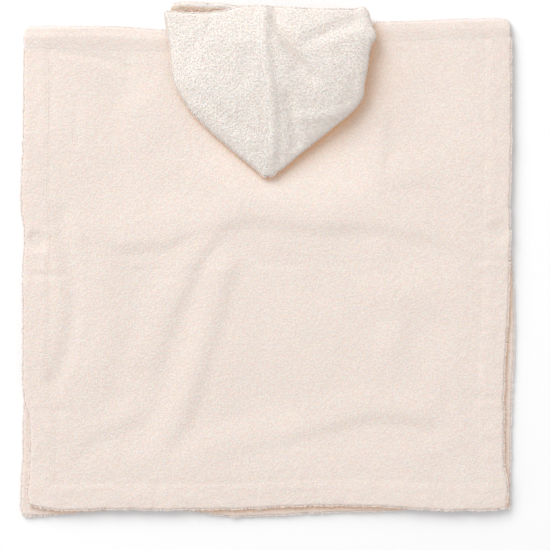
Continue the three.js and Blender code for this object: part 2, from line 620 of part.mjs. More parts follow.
piece('front_panel', pressed(frontPanel(), frontPress), cloth);
piece('back_panel', pressed(backPanel(), backPress), cloth);
piece('hood_left', hoodHalf('left'), hoodCloth);
piece('hood_right', hoodHalf('right'), hoodCloth);
for (const stud of STUDS) {
  piece(`stud_back_${stud.name}`, backStud(), resin).position.set(stud.x, stud.y, 0);
  piece(`stud_front_${stud.name}`, frontStud(), resin).position.set(stud.x, stud.y, 0);
}

// The origin is on the surface, below the middle of the whole.
const box = new THREE.Box3().setFromObject(poncho);
const middle = box.getCenter(new THREE.Vector3());
poncho.position.set(-middle.x, -middle.y, 0);

export default poncho;
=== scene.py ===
# %% [markdown]
# # A hooded bath poncho in terry towelling
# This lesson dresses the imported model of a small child's bath poncho that lies flat, with its back
# up and its hood dropped on the back. The frame gives the true sizes and places of all pieces. The
# cells below make each piece of cloth as a fine closed sheet on the form of its solid, add the
# pile, the stitching and the press studs, and set the light and the camera.

# %% Load the frame
import math

import bpy
import numpy as np
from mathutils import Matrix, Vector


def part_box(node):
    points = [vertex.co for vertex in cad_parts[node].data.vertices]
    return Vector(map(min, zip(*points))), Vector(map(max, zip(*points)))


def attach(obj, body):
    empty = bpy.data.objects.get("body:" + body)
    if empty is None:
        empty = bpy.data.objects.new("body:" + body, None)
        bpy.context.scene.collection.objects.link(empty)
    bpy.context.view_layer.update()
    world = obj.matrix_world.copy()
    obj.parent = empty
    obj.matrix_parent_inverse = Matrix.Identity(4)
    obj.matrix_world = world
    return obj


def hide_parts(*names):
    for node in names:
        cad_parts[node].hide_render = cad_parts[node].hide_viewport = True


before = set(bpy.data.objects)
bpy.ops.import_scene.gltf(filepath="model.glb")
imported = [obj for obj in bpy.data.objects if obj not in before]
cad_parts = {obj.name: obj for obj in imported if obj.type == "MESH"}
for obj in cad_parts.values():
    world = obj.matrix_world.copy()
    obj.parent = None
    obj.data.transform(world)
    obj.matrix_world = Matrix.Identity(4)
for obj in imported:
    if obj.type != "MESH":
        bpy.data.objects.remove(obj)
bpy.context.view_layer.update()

# %% [markdown]
# ## Sizes
# All tables are in millimetres, in the maker's own frame: +X right, +Y towards the shoulders, z = 0
# on the surface. The row frame is the same frame moved a few millimetres, so that its origin lies
# below the middle of the whole. The studs show how far: their place is known in both frames.

# %% Cloth, hems and the shift between the two frames
CLOTH = 3.0            # one layer of terry with its loops
HEM_CLOTH = 5.6        # a turned edge: two layers
SEAM_GAP = 0.3         # between pieces that are sewn or lie on each other
SEAM_MEETS = 0.03      # the pile of two pieces meets over their seam
HEM = 30.0             # turned edge of the panels, up to its topstitching
HOOD_HEM = 12.0        # turned face edge of the hood
STITCH_DIP = 0.2       # how far the topstitching pulls the cloth in
HEM_STEP = 0.7         # the turned edge stands up this much where it ends
STUD_BED = 9.55        # level of the pile that closes round a stud's cap
SLOPE_IN = 85.0        # the back panel sinks from hem to field over this width
HALF = 302.0           # half the panels' width
BACK_LENGTH = 575.0
FRONT_LENGTH = 560.0
NECK_HALF = 118.0
FRONT_NECK_Y = 238.0
BACK_NECK_Y = 259.0
SHOULDER_GAP = 0.8
STUDS = {"left": (-286.9, 33.3), "right": (289.8, 44.9)}

stud_low, stud_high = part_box("stud_back_left")
SHIFT = (np.array(stud_low) + np.array(stud_high)) * 500 - np.array([*STUDS["left"], 0])
SHIFT[2] = 0
print("shift of the frames, mm", SHIFT.round(2))

# %% [markdown]
# ## Outlines and folds
# Cloth that has been laid down by hand is never square. The outlines are short tables of where each
# edge runs. The folds are ridges: a path for the crest, its height, and how wide its slope is on the
# left and on the right. A slope that is narrower on one side gives the fold its direction.

# %% Outlines of the two panels
BACK_LEFT = [(-299, -295.5), (-285, -298.5), (-240, -295.6), (-190, -296.2), (-165, -302.5),
             (-96, -303.7), (-10, -304.4), (38, -301.9), (85, -305.6), (210, -303.1), (302, -303.1)]
BACK_RIGHT = [(-302, 297.5), (-280, 300.6), (-250, 296.9), (-190, 295.0), (-160, 295.2), (-100, 297.5),
              (-40, 300.6), (22, 303.1), (45, 303.7), (90, 301.9), (140, 304.4), (260, 304.4), (310, 303.7)]
BACK_BOTTOM = [(-298, -296.5), (-285, -299.0), (-183, -300.8), (-84, -301.2), (-9, -298.6),
               (91, -295.6), (166, -298.8), (191, -300.6), (285, -301.2), (298, -299.5)]
FRONT_LEFT = [(-308, -305.5), (-296, -308.1), (-240, -305.2), (-190, -304.4), (-140, -302.0),
              (38, -300.5), (210, -302.0), (302, -303.1)]
FRONT_RIGHT = [(-300, 303.0), (-240, 303.7), (-190, 304.6), (-90, 308.1), (0, 306.3), (45, 302.0),
               (140, 303.4), (310, 303.7)]
FRONT_BOTTOM = [(-307, -306.5), (-296, -309.8), (-265, -308.7), (-221, -304.4), (-150, -299.5),
                (-100, -303.0), (-34, -310.4), (16, -308.6), (79, -305.0), (166, -302.6),
                (215, -299.2), (302, -300.0)]
SHOULDER_FOLD = [(-303, 297.5), (-296, 301.9), (-177, 300.6), (-127, 297.2), (-118, 297.0),
                 (118, 306.4), (172, 308.1), (291, 311.2), (297, 310.0), (304, 304.5)]
SHOULDER_SEAM = [(-303, 275.0), (-118, 271.4), (118, 283.4), (303, 288.0)]

# %% Folds of the back panel: crest, height, width of the left and of the right slope
FOLDS = [
    ([(-55, -4), (-72, -65), (-90, -127), (-111, -190), (-142, -240), (-168, -266)], 3.4, 25, 34),
    ([(-52, 62), (-70, 44), (-91, 14), (-107, -21), (-126, -59), (-145, -115)], 2.4, 22, 44),
    ([(-232, 45), (-182, 34), (-127, 40), (-84, 52), (-22, 72), (46, 61), (106, 61), (147, 59), (193, 50),
      (230, 40), (266, 26)], 3.0, 66, 24),
    ([(138, -25), (200, -30), (258, -37)], 1.6, 45, 60),
    ([(142, 16), (151, -21), (165, -65), (156, -96)], 1.6, 24, 30),
    ([(-92, -244), (-42, -222), (45, -200), (125, -178), (160, -178), (192, -184)], 2.7, 40, 21),
    ([(204, -172), (222, -140), (238, -98)], 1.5, 34, 24),
    ([(178, -246), (215, -232), (258, -208)], 2.8, 30, 19),
    ([(-262, -240), (-222, -208), (-176, -186)], 2.3, 28, 21),
    ([(-214, 42), (-206, -4), (-202, -80), (-222, -128)], 2.2, 45, 24),
    ([(160, 112), (216, 125), (272, 135)], 2.0, 40, 34),
    ([(141, 185), (140, 103)], 2.2, 18, 45),
    ([(-146, 203), (-84, 128), (-34, 85)], 2.4, 40, 60),
]
FOLD_END = 34.0        # a fold dies out over this length

# %% Small creases that come from the seams and hems: path, height and half width
CREASES = [
    ([(-258, 272), (-205, 262), (-172, 250)], -1.0, 10),
    ([(-176, 268), (-173, 238)], -0.9, 10),
    ([(-146, 268), (-140, 246)], -0.8, 9),
    ([(-237, 212), (-238, 158)], -0.6, 9),
    ([(170, 268), (200, 228), (232, 192), (262, 160)], -0.9, 12),
    ([(214, 272), (226, 250)], -0.6, 8),
    ([(-292, -9), (-252, -9)], -0.6, 7),
    ([(-292, -178), (-252, -178)], -0.6, 7),
    ([(262, 10), (300, 8)], -0.6, 7),
    ([(262, -162), (300, -164)], -0.6, 7),
    ([(-137, -274), (-140, -300)], -0.5, 7),
    ([(64, -272), (62, -298)], -0.4, 7),
    ([(-257, 62), (-249, 20), (-243, -20), (-242, -60), (-250, -104), (-263, -138)], -2.2, 18),
]

# %% [markdown]
# ## The hood's sections
# A dropped hood is a flattened tube that narrows to a tip. Each row below is one section across it:
# where the side folds and the centre seam lie, how high they are, and how full the cloth is between
# them. A fullness of 1 is a straight slope, 2 a quarter ellipse, and more is boxy.

# %% Hood sections, from the face edge down to the tip
HOOD_COLUMNS = ("y", "left", "seam", "right", "crown", "left_side", "right_side", "under",
                "left_full", "right_full")
HOOD = np.array([
    (319, -127.2, -8.7, 124.7, 30, 15, 21, 9.0, 1.35, 2.2),
    (302, -124.7, -8.7, 129.7, 35, 14, 23, 8.9, 1.4, 2.5),
    (288, -122.2, -8.6, 134.2, 38, 13, 24, 8.8, 1.45, 2.6),
    (276, -120.3, -8.4, 128.5, 39, 13, 24, 8.7, 1.5, 2.7),
    (266, -119.4, -8.0, 126.2, 39, 13, 24, 8.3, 1.5, 2.8),
    (253, -118.5, -7.5, 124.7, 39, 13, 24, 8.1, 1.5, 2.8),
    (227, -113.5, -2.0, 119.8, 38, 13, 23, 8.1, 1.6, 2.6),
    (212, -104.8, 0.4, 118.0, 37, 13, 22, 8.1, 1.7, 2.3),
    (197, -94.8, 1.2, 107.3, 35, 13, 21, 8.1, 1.8, 2.0),
    (176, -74.8, 1.2, 82.3, 31, 13, 19, 8.2, 1.8, 1.8),
    (157, -53.6, 1.0, 58.6, 27, 13, 17, 8.6, 1.8, 1.7),
    (140, -33.8, 0.4, 37.2, 22, 14, 16, 9.6, 1.9, 1.8),
    (126, -16.4, 0.2, 20.5, 18.5, 14.5, 15, 10.8, 2.0, 2.0),
    (119, -8.2, 0.8, 10.8, 17, 14.5, 14.5, 11.6, 2.0, 2.0),
])
TIP = {"y": 114.0, "x": 1.2, "z": 14.4, "wall": 3.2}
NEAR_LIP = [(-127, 319.3), (-103, 316.3), (-75, 315.3), (-50, 318.1), (-32, 322.5), (-9, 323.1),
            (25, 321.5), (67, 319.7), (106, 319.7), (119, 322.6), (127, 317.0)]
FAR_LIP = [(-124, 324.7), (-118, 328.1), (-82, 329.6), (-56, 328.3), (-38, 325.7), (-9, 320.0),
           (60, 316.5), (124, 315.0)]
SEAM_RIDGE = (3.3, 11.0)     # height and half width of the ridge over the seam allowances
RIDGE_PATH = [(-5, 319), (-4, 282), (0, 246), (5, 208), (7, 170), (5, 130)]
HOOD_CREASES = [             # path, depth and half width of troughs in the crown's right half
    ([(10, 316), (17, 292), (31, 264), (52, 238)], 5.5, 12),
    ([(27, 208), (32, 184), (35, 158)], 3.2, 14),
    ([(56, 282), (80, 293), (106, 303)], 3.0, 15),
]

# %% [markdown]
# ## Small helpers for shape
# A table of an edge is read as a smooth curve, because a cloth edge has no corners but its own. A
# fold's profile is half a cosine wave. The drift is a random surface with hills of a chosen size: it
# stands for the small unevenness that a soft cloth always has.

# %% Curves, bells and drift
def curve(rows, at):
    """Value of a table at the given places, as a smooth curve through its rows."""
    places, values = np.array(rows, float).T
    slopes = np.gradient(values, places)
    steep = np.diff(values) / np.diff(places)
    slopes[1:-1] = np.where(steep[1:] * steep[:-1] > 0, slopes[1:-1], 0)
    at = np.clip(at, places[0], places[-1])
    k = np.clip(np.searchsorted(places, at) - 1, 0, len(places) - 2)
    width = places[k + 1] - places[k]
    t = (at - places[k]) / width
    rise = t * t * (3 - 2 * t)
    swing = t * (1 - t) * width
    return (values[k] * (1 - rise) + values[k + 1] * rise
            + swing * ((1 - t) * slopes[k] - t * slopes[k + 1]))


def smooth(t):
    t = np.clip(t, 0, 1)
    return t * t * (3 - 2 * t)


def bell(t):
    return np.where(np.abs(t) < 1, 0.5 + 0.5 * np.cos(np.pi * np.clip(t, -1, 1)), 0.0)


def beside(path, x, y):
    """Signed distance to a path (left of it is positive) and how far past its ends a point is."""
    reach = np.full(np.shape(x), np.inf)
    signed = np.zeros(np.shape(x))
    past = np.zeros(np.shape(x))
    for k in range(len(path) - 1):
        (ax, ay), (bx, by) = path[k], path[k + 1]
        length = math.hypot(bx - ax, by - ay)
        run = ((x - ax) * (bx - ax) + (y - ay) * (by - ay)) / length
        side = ((bx - ax) * (y - ay) - (by - ay) * (x - ax)) / length
        before = np.maximum(-run, 0)
        after = np.maximum(run - length, 0)
        over = (before if k == 0 else 0) + (after if k == len(path) - 2 else 0)
        away = np.where(over > 0, np.abs(side), np.hypot(side, np.maximum(before, after)))
        nearer = away + over < reach
        reach = np.where(nearer, away + over, reach)
        signed = np.where(nearer, np.where(side < 0, -1, 1) * away, signed)
        past = np.where(nearer, over, past)
    return signed, past


def drift(x, y, size, seed):
    """Random hills between -1 and 1, about size millimetres apart."""
    lattice = np.random.RandomState(seed).uniform(-1, 1, (97, 97))
    u, v = np.asarray(x) / size, np.asarray(y) / size
    i, j = np.floor(u).astype(int), np.floor(v).astype(int)
    s, t = smooth(u - i), smooth(v - j)
    i, j = i % 96, j % 96
    low = lattice[i, j] * (1 - s) + lattice[i + 1, j] * s
    high = lattice[i, j + 1] * (1 - s) + lattice[i + 1, j + 1] * s
    return low * (1 - t) + high * t


print("check of a curve at -200:", curve(BACK_BOTTOM, np.array([-200.0])).round(1))

# %% [markdown]
# ## A closed sheet
# A sheet of cloth has two faces and a rim. Each face is a grid of points, and the rim joins them
# wherever the cloth ends. The lower face may be coarser, since nobody sees it: it then uses every
# third point of the grid, and the rim joins three short edges to one long one.

# %% Mesh from two faces
def link(name, vertices, faces, sides=4):
    """New smooth-shaded object in metres from vertices in the maker's frame and one array of faces."""
    mesh = bpy.data.meshes.new(name)
    points = (np.asarray(vertices, float) + SHIFT) / 1000
    mesh.from_pydata(points.tolist(), [], [list(map(int, f)) for f in faces])
    mesh.validate()
    mesh.polygons.foreach_set("use_smooth", [True] * len(mesh.polygons))
    mesh.set_sharp_from_angle(angle=math.radians(60))
    mesh.update()
    thing = bpy.data.objects.new(name, mesh)
    bpy.context.scene.collection.objects.link(thing)
    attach(thing, "root")
    return thing


def quads(grid, cells=None):
    """The four corners of each cell of a grid of vertex numbers."""
    faces = np.stack([grid[:-1, :-1], grid[:-1, 1:], grid[1:, 1:], grid[1:, :-1]], axis=-1)
    return faces.reshape(-1, 4) if cells is None else faces[cells]


def closed_sheet(top, low, every=1, cells=None, flip=False):
    """Vertices and faces of the wall between two faces, given as arrays of rows, columns and xyz."""
    rows, columns = top.shape[:2]
    upper = np.arange(rows * columns).reshape(rows, columns)
    under_points = low[::every, ::every]
    lower = rows * columns + np.arange(under_points[..., 0].size).reshape(under_points.shape[:2])
    faces = [f for f in quads(upper, cells)]
    faces += [f[::-1] for f in quads(lower, cells)]
    if cells is None:
        loops = [(upper[0], lower[0], 1), (upper[-1], lower[-1], -1),
                 (upper[:, 0], lower[:, 0], -1), (upper[:, -1], lower[:, -1], 1)]
        for fine, coarse, turn in loops:
            for k in range(len(coarse) - 1):
                a, b = coarse[k], coarse[k + 1]
                edge = fine[k * every:k * every + every + 1]
                fan = [*edge[::-1], a, b] if turn > 0 else [*edge, b, a]
                faces.append(fan)
    else:
        filled = np.pad(cells, 1)
        for j, i in np.argwhere(cells):
            ring = [(j, i), (j, i + 1), (j + 1, i + 1), (j + 1, i)]
            beyond = [filled[j, i + 1], filled[j + 1, i + 2], filled[j + 2, i + 1], filled[j + 1, i]]
            for k, cloth in enumerate(beyond):
                if not cloth:
                    p, q = ring[k], ring[(k + 1) % 4]
                    faces.append([upper[q], upper[p], lower[p], lower[q]])
    vertices = np.concatenate([top.reshape(-1, 3), under_points.reshape(-1, 3)])
    return vertices, [f[::-1] for f in faces] if flip else faces


# %% [markdown]
# ## The back panel
# It is a rectangle whose edges are turned and topstitched 30 mm in. The turned edge is twice as
# thick, so the panel stands higher at its rim and sinks towards the middle, where it lies on the
# front panel. The stitching draws the pile in, and the cloth puckers a little along it.

# %% Stations and edges
def spaced(length, fine, step):
    """Places from 0 to length: close together at both ends, then a step apart."""
    ends = np.concatenate([[0, 0.25, 0.8, 1.6, 2.6], np.arange(fine, HEM + 12, fine) + 1.6])
    middle = np.linspace(ends[-1], length - ends[-1], max(2, round((length - 2 * ends[-1]) / step) + 1))
    return np.concatenate([ends[:-1], middle, length - ends[:-1][::-1]])


def rounded(distance, thick):
    """How far each face of a folded edge draws in towards the middle of its thickness."""
    radius = thick * 0.5
    t = np.clip(1 - distance / radius, 0, 1)
    return (radius - 0.12) * (1 - np.sqrt(1 - t * t))


def shifted(x, y, left, right):
    move = np.where(x < 0, curve(left, y) + HALF, curve(right, y) - HALF)
    return x + move * np.clip((np.abs(x) - 200) / 45, 0, 1)


def neck_line(x):
    end = curve(SHOULDER_SEAM, np.where(x < 0, -NECK_HALF, NECK_HALF))
    scoop = BACK_NECK_Y + (end - BACK_NECK_Y) * (x / NECK_HALF) ** 2
    return np.where(np.abs(x) >= NECK_HALF, curve(SHOULDER_SEAM, x), scoop)


def shoulder_roll(x, share):
    """The seam allowances under the strip lift it between the fold (0) and the seam (1)."""
    height = 1.5 - 0.9 * smooth((x + HALF) / (2 * HALF))
    return height * smooth(share / 0.4) * smooth((1 - share) / 0.8) - 0.35 * smooth((share - 0.6) / 0.4)


def hem_lump(run, depth, seed):
    """Waviness of a turned edge: it swells and thins along its length."""
    return (drift(run, depth, 22, seed) * 0.5 + drift(run, depth, 9, seed + 1) * 0.4
            + drift(run, depth, 5, seed + 2) * 0.3)


def hem_swell(x, y, edge):
    """What the turned edge adds to the height of the cloth, by the distance from the edge."""
    plump = 0.25 * smooth(edge / 8) * smooth((HEM - edge) / 8)
    step = HEM_STEP * (1 - smooth((edge - HEM + 1.2) / 3.6))
    return plump + step + hem_lump(x, y, 11) * 0.75 * smooth((HEM + 3 - edge) / 6)


# %% Surface of the back panel at stations from its left and its bottom edge
def fold_height(x, y):
    total = np.zeros(np.shape(x))
    for path, height, left, right in FOLDS:
        signed, past = beside(path, x, y)
        ridge = height * bell(signed / np.where(signed > 0, left, right)) * bell(past / FOLD_END)
        total = total + ridge ** 4
    return total ** 0.25


def lift_at(edge):
    """Share of the height that the hems add, at a distance from the edge."""
    return 1 - smooth((edge - HEM - 6) / SLOPE_IN)


def back_surface(across, up):
    """x, y, upper z and lower z of the back panel."""
    rough = across - HALF
    bottom = curve(BACK_BOTTOM, rough)
    y = bottom + (neck_line(rough) - SEAM_MEETS - bottom) * up / BACK_LENGTH
    x = shifted(rough, y, BACK_LEFT, BACK_RIGHT)
    side = np.minimum(across, 2 * HALF - across)
    edge = np.minimum(side, up)
    wave = 1.5 * hem_lump(x + y, x - y, 3) * (1 - smooth(edge / 14))
    x = x + np.where(side <= up, np.sign(rough) * wave, 0)
    y = y - np.where(side > up, wave, 0)
    lift = lift_at(edge)
    quiet = smooth((edge - HEM) / 22) * smooth((BACK_LENGTH - up) / 40)
    field = 2 * CLOTH + SEAM_GAP + (fold_height(x, y) + drift(x, y, 31, 5) * 0.5) * quiet
    dip = STITCH_DIP * bell((edge - HEM) / 5)
    pucker = 0.35 * drift(x, y, 11, 7) * bell((edge - HEM) / 16)
    creases = np.zeros(np.shape(x))
    for path, height, half in CREASES:
        signed, past = beside(path, x, y)
        creases = creases + height * bell(signed / half) * bell(past / (1.4 * half))
    raised = 2 * HEM_CLOTH + SEAM_GAP - HEM_STEP
    below_seam = smooth((BACK_LENGTH - up) / 12)
    top = field * (1 - lift) + raised * lift + hem_swell(x, y, side) * (up >= side) \
        + hem_swell(x, y, up) * (up < side) + (pucker + creases) * below_seam - dip
    for sx, sy in STUDS.values():
        away = np.hypot(x - sx, y - sy)
        top = top - (top - STUD_BED) * (1 - smooth((away - 5.4) / 12))
    thick = CLOTH + (HEM_CLOTH - CLOTH) * (1 - smooth((edge - HEM) / 6)) - dip
    low = np.maximum(top - thick, CLOTH + SEAM_GAP)
    top = top + shoulder_roll(x, 1.0) * smooth(1 - (BACK_LENGTH - up) / 16) * (np.abs(x) > NECK_HALF - 6)
    for sx, sy in STUDS.values():
        near = np.hypot(x - sx, y - sy) < 10
        low = np.where(near, np.maximum(np.minimum(low, top - 1.5), 6.3), low)
    rim = rounded(edge, thick)
    return x, y, top - rim, low + rim


def stacked(x, y, z):
    return np.stack([x, y, z], axis=-1)


# %% [markdown]
# The rows of the grid run from the bottom edge to the shoulder seam. The pile is drawn as a slight
# random relief of the upper face, and the finer loops are left to the material.

# %% Build the back panel
FINE = 2.6             # grid of the faces that show


def thirds(places):
    """The places with one or two dropped from the middle, so that cells can be counted in threes."""
    extra = (len(places) - 1) % 3
    middle = len(places) // 2
    return np.delete(places, [middle + 2 * k for k in range(extra)])


across = thirds(spaced(2 * HALF, 2.4, FINE))
up = thirds(spaced(BACK_LENGTH, 2.4, FINE))
A, U = np.meshgrid(across, up)
bx, by, bz_top, bz_low = back_surface(A, U)
pile = np.random.RandomState(1).uniform(-1, 1, bz_top.shape) * 0.16
bz_top = bz_top + pile * smooth(np.minimum(np.minimum(A, 2 * HALF - A), U) / 3)
vertices, faces = closed_sheet(stacked(bx, by, bz_top), stacked(bx, by, bz_low), every=3)
back_cloth = link("back_cloth", vertices, faces)
print("back panel", len(faces), "faces, highest", round(float(bz_top.max()), 1), "mm")

# %% [markdown]
# ## The front panel
# It lies on the surface, turns at the shoulder fold and comes back over the shoulders to the seam.
# Between the shoulders it stops at the scooped front neckline. One grid serves all of it: its rows
# run up the lying part, round the fold and down the strip, and the cells above the neckline are left
# out.

# %% Surface of the front panel
NECK_ENDS = {-1: float(curve(SHOULDER_FOLD, np.array(-NECK_HALF))) - CLOTH - SHOULDER_GAP / 2,
             1: float(curve(SHOULDER_FOLD, np.array(NECK_HALF))) - CLOTH - SHOULDER_GAP / 2}


def front_neck(x):
    end = np.where(x < 0, NECK_ENDS[-1], NECK_ENDS[1])
    return FRONT_NECK_Y + (end - FRONT_NECK_Y) * np.minimum(1, np.abs(x) / NECK_HALF) ** 2.4


front_across = np.unique(np.concatenate([
    spaced(2 * HALF, 2.4, 3.6), [HALF - NECK_HALF, HALF + NECK_HALF]]))
lying = np.concatenate([[0, 0.25, 0.8, 1.6, 2.6], np.arange(4.0, 42, 2.4), np.arange(42, FRONT_LENGTH, 7.4),
                        [FRONT_LENGTH]])
TURN_STEPS = 14
STRIP_STEPS = 11
rough = front_across - HALF
side = np.minimum(front_across, 2 * HALF - front_across)
share = lift_at(side)
thick = CLOTH + (HEM_CLOTH - CLOTH) * share
gap = SHOULDER_GAP + (SEAM_GAP - SHOULDER_GAP) * share
radius = thick + gap / 2
fold_line = curve(SHOULDER_FOLD, rough) + drift(rough, 0, 14, 21) * 0.5
is_neck = np.abs((rough[1:] + rough[:-1]) / 2) < NECK_HALF
top_rows, low_rows = [], []
for place in lying:
    bottom = curve(FRONT_BOTTOM, rough)
    reach = np.where(np.abs(rough) < NECK_HALF, front_neck(rough), fold_line - radius)
    y = bottom + (reach - bottom) * place / FRONT_LENGTH
    x = shifted(rough, y, FRONT_LEFT, FRONT_RIGHT)
    edge = np.minimum(side, place)
    wave = hem_lump(x + y, x - y, 31) * (1 - smooth(edge / 14))
    x = x + np.where(side <= place, np.sign(rough) * wave, 0)
    y = y - np.where(side > place, wave, 0)
    own = CLOTH + (HEM_CLOTH - CLOTH) * (1 - smooth((edge - HEM) / 6))
    rim = rounded(edge, own)
    top_rows.append(stacked(x, y, own - rim))
    low_rows.append(stacked(x, y, 0.15 * rim))
for step in range(1, TURN_STEPS + 1):
    angle = math.pi * step / TURN_STEPS
    rim = rounded(side, thick)
    outside, inside = radius - rim * 0.6, gap / 2 + rim * 0.4
    for rows, reach in ((low_rows, outside), (top_rows, inside)):
        y = fold_line - radius + reach * math.sin(angle)
        z = radius - reach * math.cos(angle)
        rows.append(stacked(shifted(rough, y, FRONT_LEFT, FRONT_RIGHT), y, z))
for step in range(1, STRIP_STEPS + 1):
    t = step / STRIP_STEPS
    y = (fold_line - radius) * (1 - t) + (curve(SHOULDER_SEAM, rough) - SEAM_GAP) * t
    x = shifted(rough, y, FRONT_LEFT, FRONT_RIGHT)
    rim = rounded(side, thick)
    sag = drift(x, y, 16, 23) * 0.45 * math.sin(math.pi * t)
    seam_level = (2 * CLOTH + SEAM_GAP) * (1 - share) + (2 * HEM_CLOTH + SEAM_GAP - HEM_STEP) * share
    crown = (2 * radius * (1 - t) + (seam_level + hem_swell(x, y, side)) * t + sag
             + shoulder_roll(x, t) * np.ones(len(x)))
    low_rows.append(stacked(x, y, crown - rim))
    top_rows.append(stacked(x, y, np.minimum(crown - thick + rim, crown - 1.2)))
front_top = np.array(top_rows)
front_low = np.array(low_rows)
cells = np.ones((len(front_top) - 1, len(front_across) - 1), bool)
cells[len(lying) - 1:, is_neck] = False
vertices, faces = closed_sheet(front_top, front_low, cells=cells)
front_cloth = link("front_cloth", vertices, faces)
print("front panel", len(faces), "faces")

# %% [markdown]
# ## The hood
# The hood is two mirrored halves, joined by one seam that runs from the face edge over the crown,
# round the tip and up the nape. A half is swept here: its section goes from the seam over the crown,
# turns at the side fold and comes back below. Both faces of the cloth lie half a thickness off
# that line.

# %% Sections of the hood
CROWN = 66             # points of a section over the crown, round the side fold and along the nape
TURN = 9
NAPE = 30


def hood_value(name, y):
    rows = HOOD[::-1][:, [0, HOOD_COLUMNS.index(name)]]
    return float(curve(rows, np.array(float(y))))


def even(points, count):
    """The points of a line again, evenly spaced along it."""
    steps = np.linalg.norm(np.diff(points, axis=0), axis=1)
    run = np.concatenate([[0], np.cumsum(steps)])
    at = np.linspace(0, run[-1], count)
    return np.stack([np.interp(at, run, values) for values in points.T], axis=-1)


def neck_reach(y, sign):
    """How far the neck opening reaches from the middle at a height y."""
    end = float(curve(SHOULDER_SEAM, np.array(sign * NECK_HALF)))
    share = np.clip((y - BACK_NECK_Y) / (end - BACK_NECK_Y), 0, 1)
    return NECK_HALF * math.sqrt(share)


def hood_section(y, side):
    """x and z along the middle of the cloth, and x of the centre seam."""
    sign = -1 if side == "left" else 1
    seam, crown, under = hood_value("seam", y), hood_value("crown", y), hood_value("under", y)
    middle, power = hood_value(side + "_side", y), hood_value(side + "_full", y)
    edge = hood_value(side, y) - sign * CLOTH / 2
    reach = abs(edge - seam)
    angle = np.linspace(0, math.pi / 2, 240)
    cos, sin = np.cos(angle).clip(0), np.sin(angle)
    over = np.stack([seam + sign * reach * sin ** (2 / power),
                     middle + (crown - middle) * cos ** (2 / power)], axis=-1)
    radius = min(middle - under, reach * 0.6)
    turn = np.stack([edge - sign * radius * (1 - cos), middle - (middle - under) * sin], axis=-1)
    start = edge - sign * radius
    neck = neck_reach(y, sign)
    end = sign * min(neck, abs(edge) - radius - 1) if neck > 0 else seam
    nape = np.linspace([start, under], [end, under], NAPE + 1)
    return np.concatenate([even(over, CROWN + 1), even(turn, TURN + 1)[1:], nape[1:]]), seam


# %% Rows of a hood half
LIP_Y, MOUTH_Y, LAST_Y = 319.0, 276.0, 119.0
MORE_HOOD_CREASES = [        # side, path, depth (a ridge has a negative one) and half width
    ("right", [(20, 296), (40, 262), (52, 236)], -1.2, 9),
    ("right", [(7, 299), (22, 278), (40, 253)], 2.2, 8),
    ("right", [(46, 186), (84, 189), (100, 196)], -1.8, 13),
    ("right", [(34, 240), (44, 214), (50, 190)], 1.4, 13),
    ("right", [(92, 262), (108, 236), (104, 214)], 1.2, 12),
    ("left", [(-30, 168), (-50, 186), (-84, 214)], 1.6, 14),
    ("left", [(-22, 262), (-34, 224), (-26, 190)], 1.2, 16),
    ("left", [(-70, 296), (-96, 268), (-98, 244)], 1.2, 14),
]


def hood_row(offset, side):
    """Outer and inner points of the row that starts an offset below the middle of the face edge."""
    sign = -1 if side == "left" else 1
    row_y = LIP_Y - offset
    points, seam = hood_section(row_y, side)
    x, z = points.T
    count = np.arange(len(x))
    on_top = np.clip(1 - (count - CROWN) / (0.8 * TURN), 0, 1)
    lip = curve(NEAR_LIP, x)
    mouth = smooth((row_y - MOUTH_Y) / (LIP_Y - MOUTH_Y))
    y = row_y + (lip - LIP_Y) * mouth * on_top
    from_lip = np.where(on_top > 0, lip - y, 100)
    hem = 1 - smooth((from_lip - HOOD_HEM) / 4)
    from_seam = np.abs(x - seam)
    room = smooth((z - hood_value("under", row_y) - 6) / 8) * (count < CROWN)
    height, half = SEAM_RIDGE
    signed, past = beside(RIDGE_PATH, x, y)
    z = z + height * bell(signed / half) * bell(past / 30) * room * smooth(from_lip / 30 + 0.4)
    for path, depth, width in HOOD_CREASES:
        signed, past = beside(path, x, y)
        z = z - (depth * bell(signed / width) * bell(past / 20) * room if sign > 0 else 0)
    for place, path, depth, width in MORE_HOOD_CREASES:
        signed, past = beside(path, x, y)
        z = z - (depth * bell(signed / width) * bell(past / 18) * room if place == side else 0)
    z = z + (drift(x, y, 27, 41) * 0.7 + drift(x, y, 11, 43) * 0.3) * room
    z = z - STITCH_DIP * 0.8 * bell((from_lip - HOOD_HEM) / 5) * (count < CROWN)
    z = z + 0.3 * drift(x, y, 8, 47) * bell((from_lip - HOOD_HEM) / 12) * (count < CROWN)
    along_x, along_z = np.gradient(x), np.gradient(z)
    length = np.hypot(along_x, along_z)
    nx, nz = -sign * along_z / length, sign * along_x / length
    nx[[0, -1]] = 0
    nz[0], nz[-1] = 1, -1
    thick = CLOTH + 1.8 * hem * on_top
    rim = rounded(np.full(len(x), offset), thick)
    out, back = CLOTH / 2 - rim, thick - CLOTH / 2 - rim
    outer = np.stack([x + nx * out, y, z + nz * out], axis=-1)
    inner = np.stack([x - nx * back, y, z - nz * back], axis=-1)
    for face in (outer, inner):
        face[0, 0] = seam + sign * SEAM_MEETS
        if abs(points[-1, 0] - seam) < 1e-6:
            face[-1, 0] = seam + sign * SEAM_MEETS
    return outer, inner


hood_offsets = np.concatenate([[0, 0.25, 0.8, 1.6, 2.6], np.arange(4, 20, 1.7),
                               np.linspace(20, LIP_Y - LAST_Y, 86)])
TIP_STEPS = 8


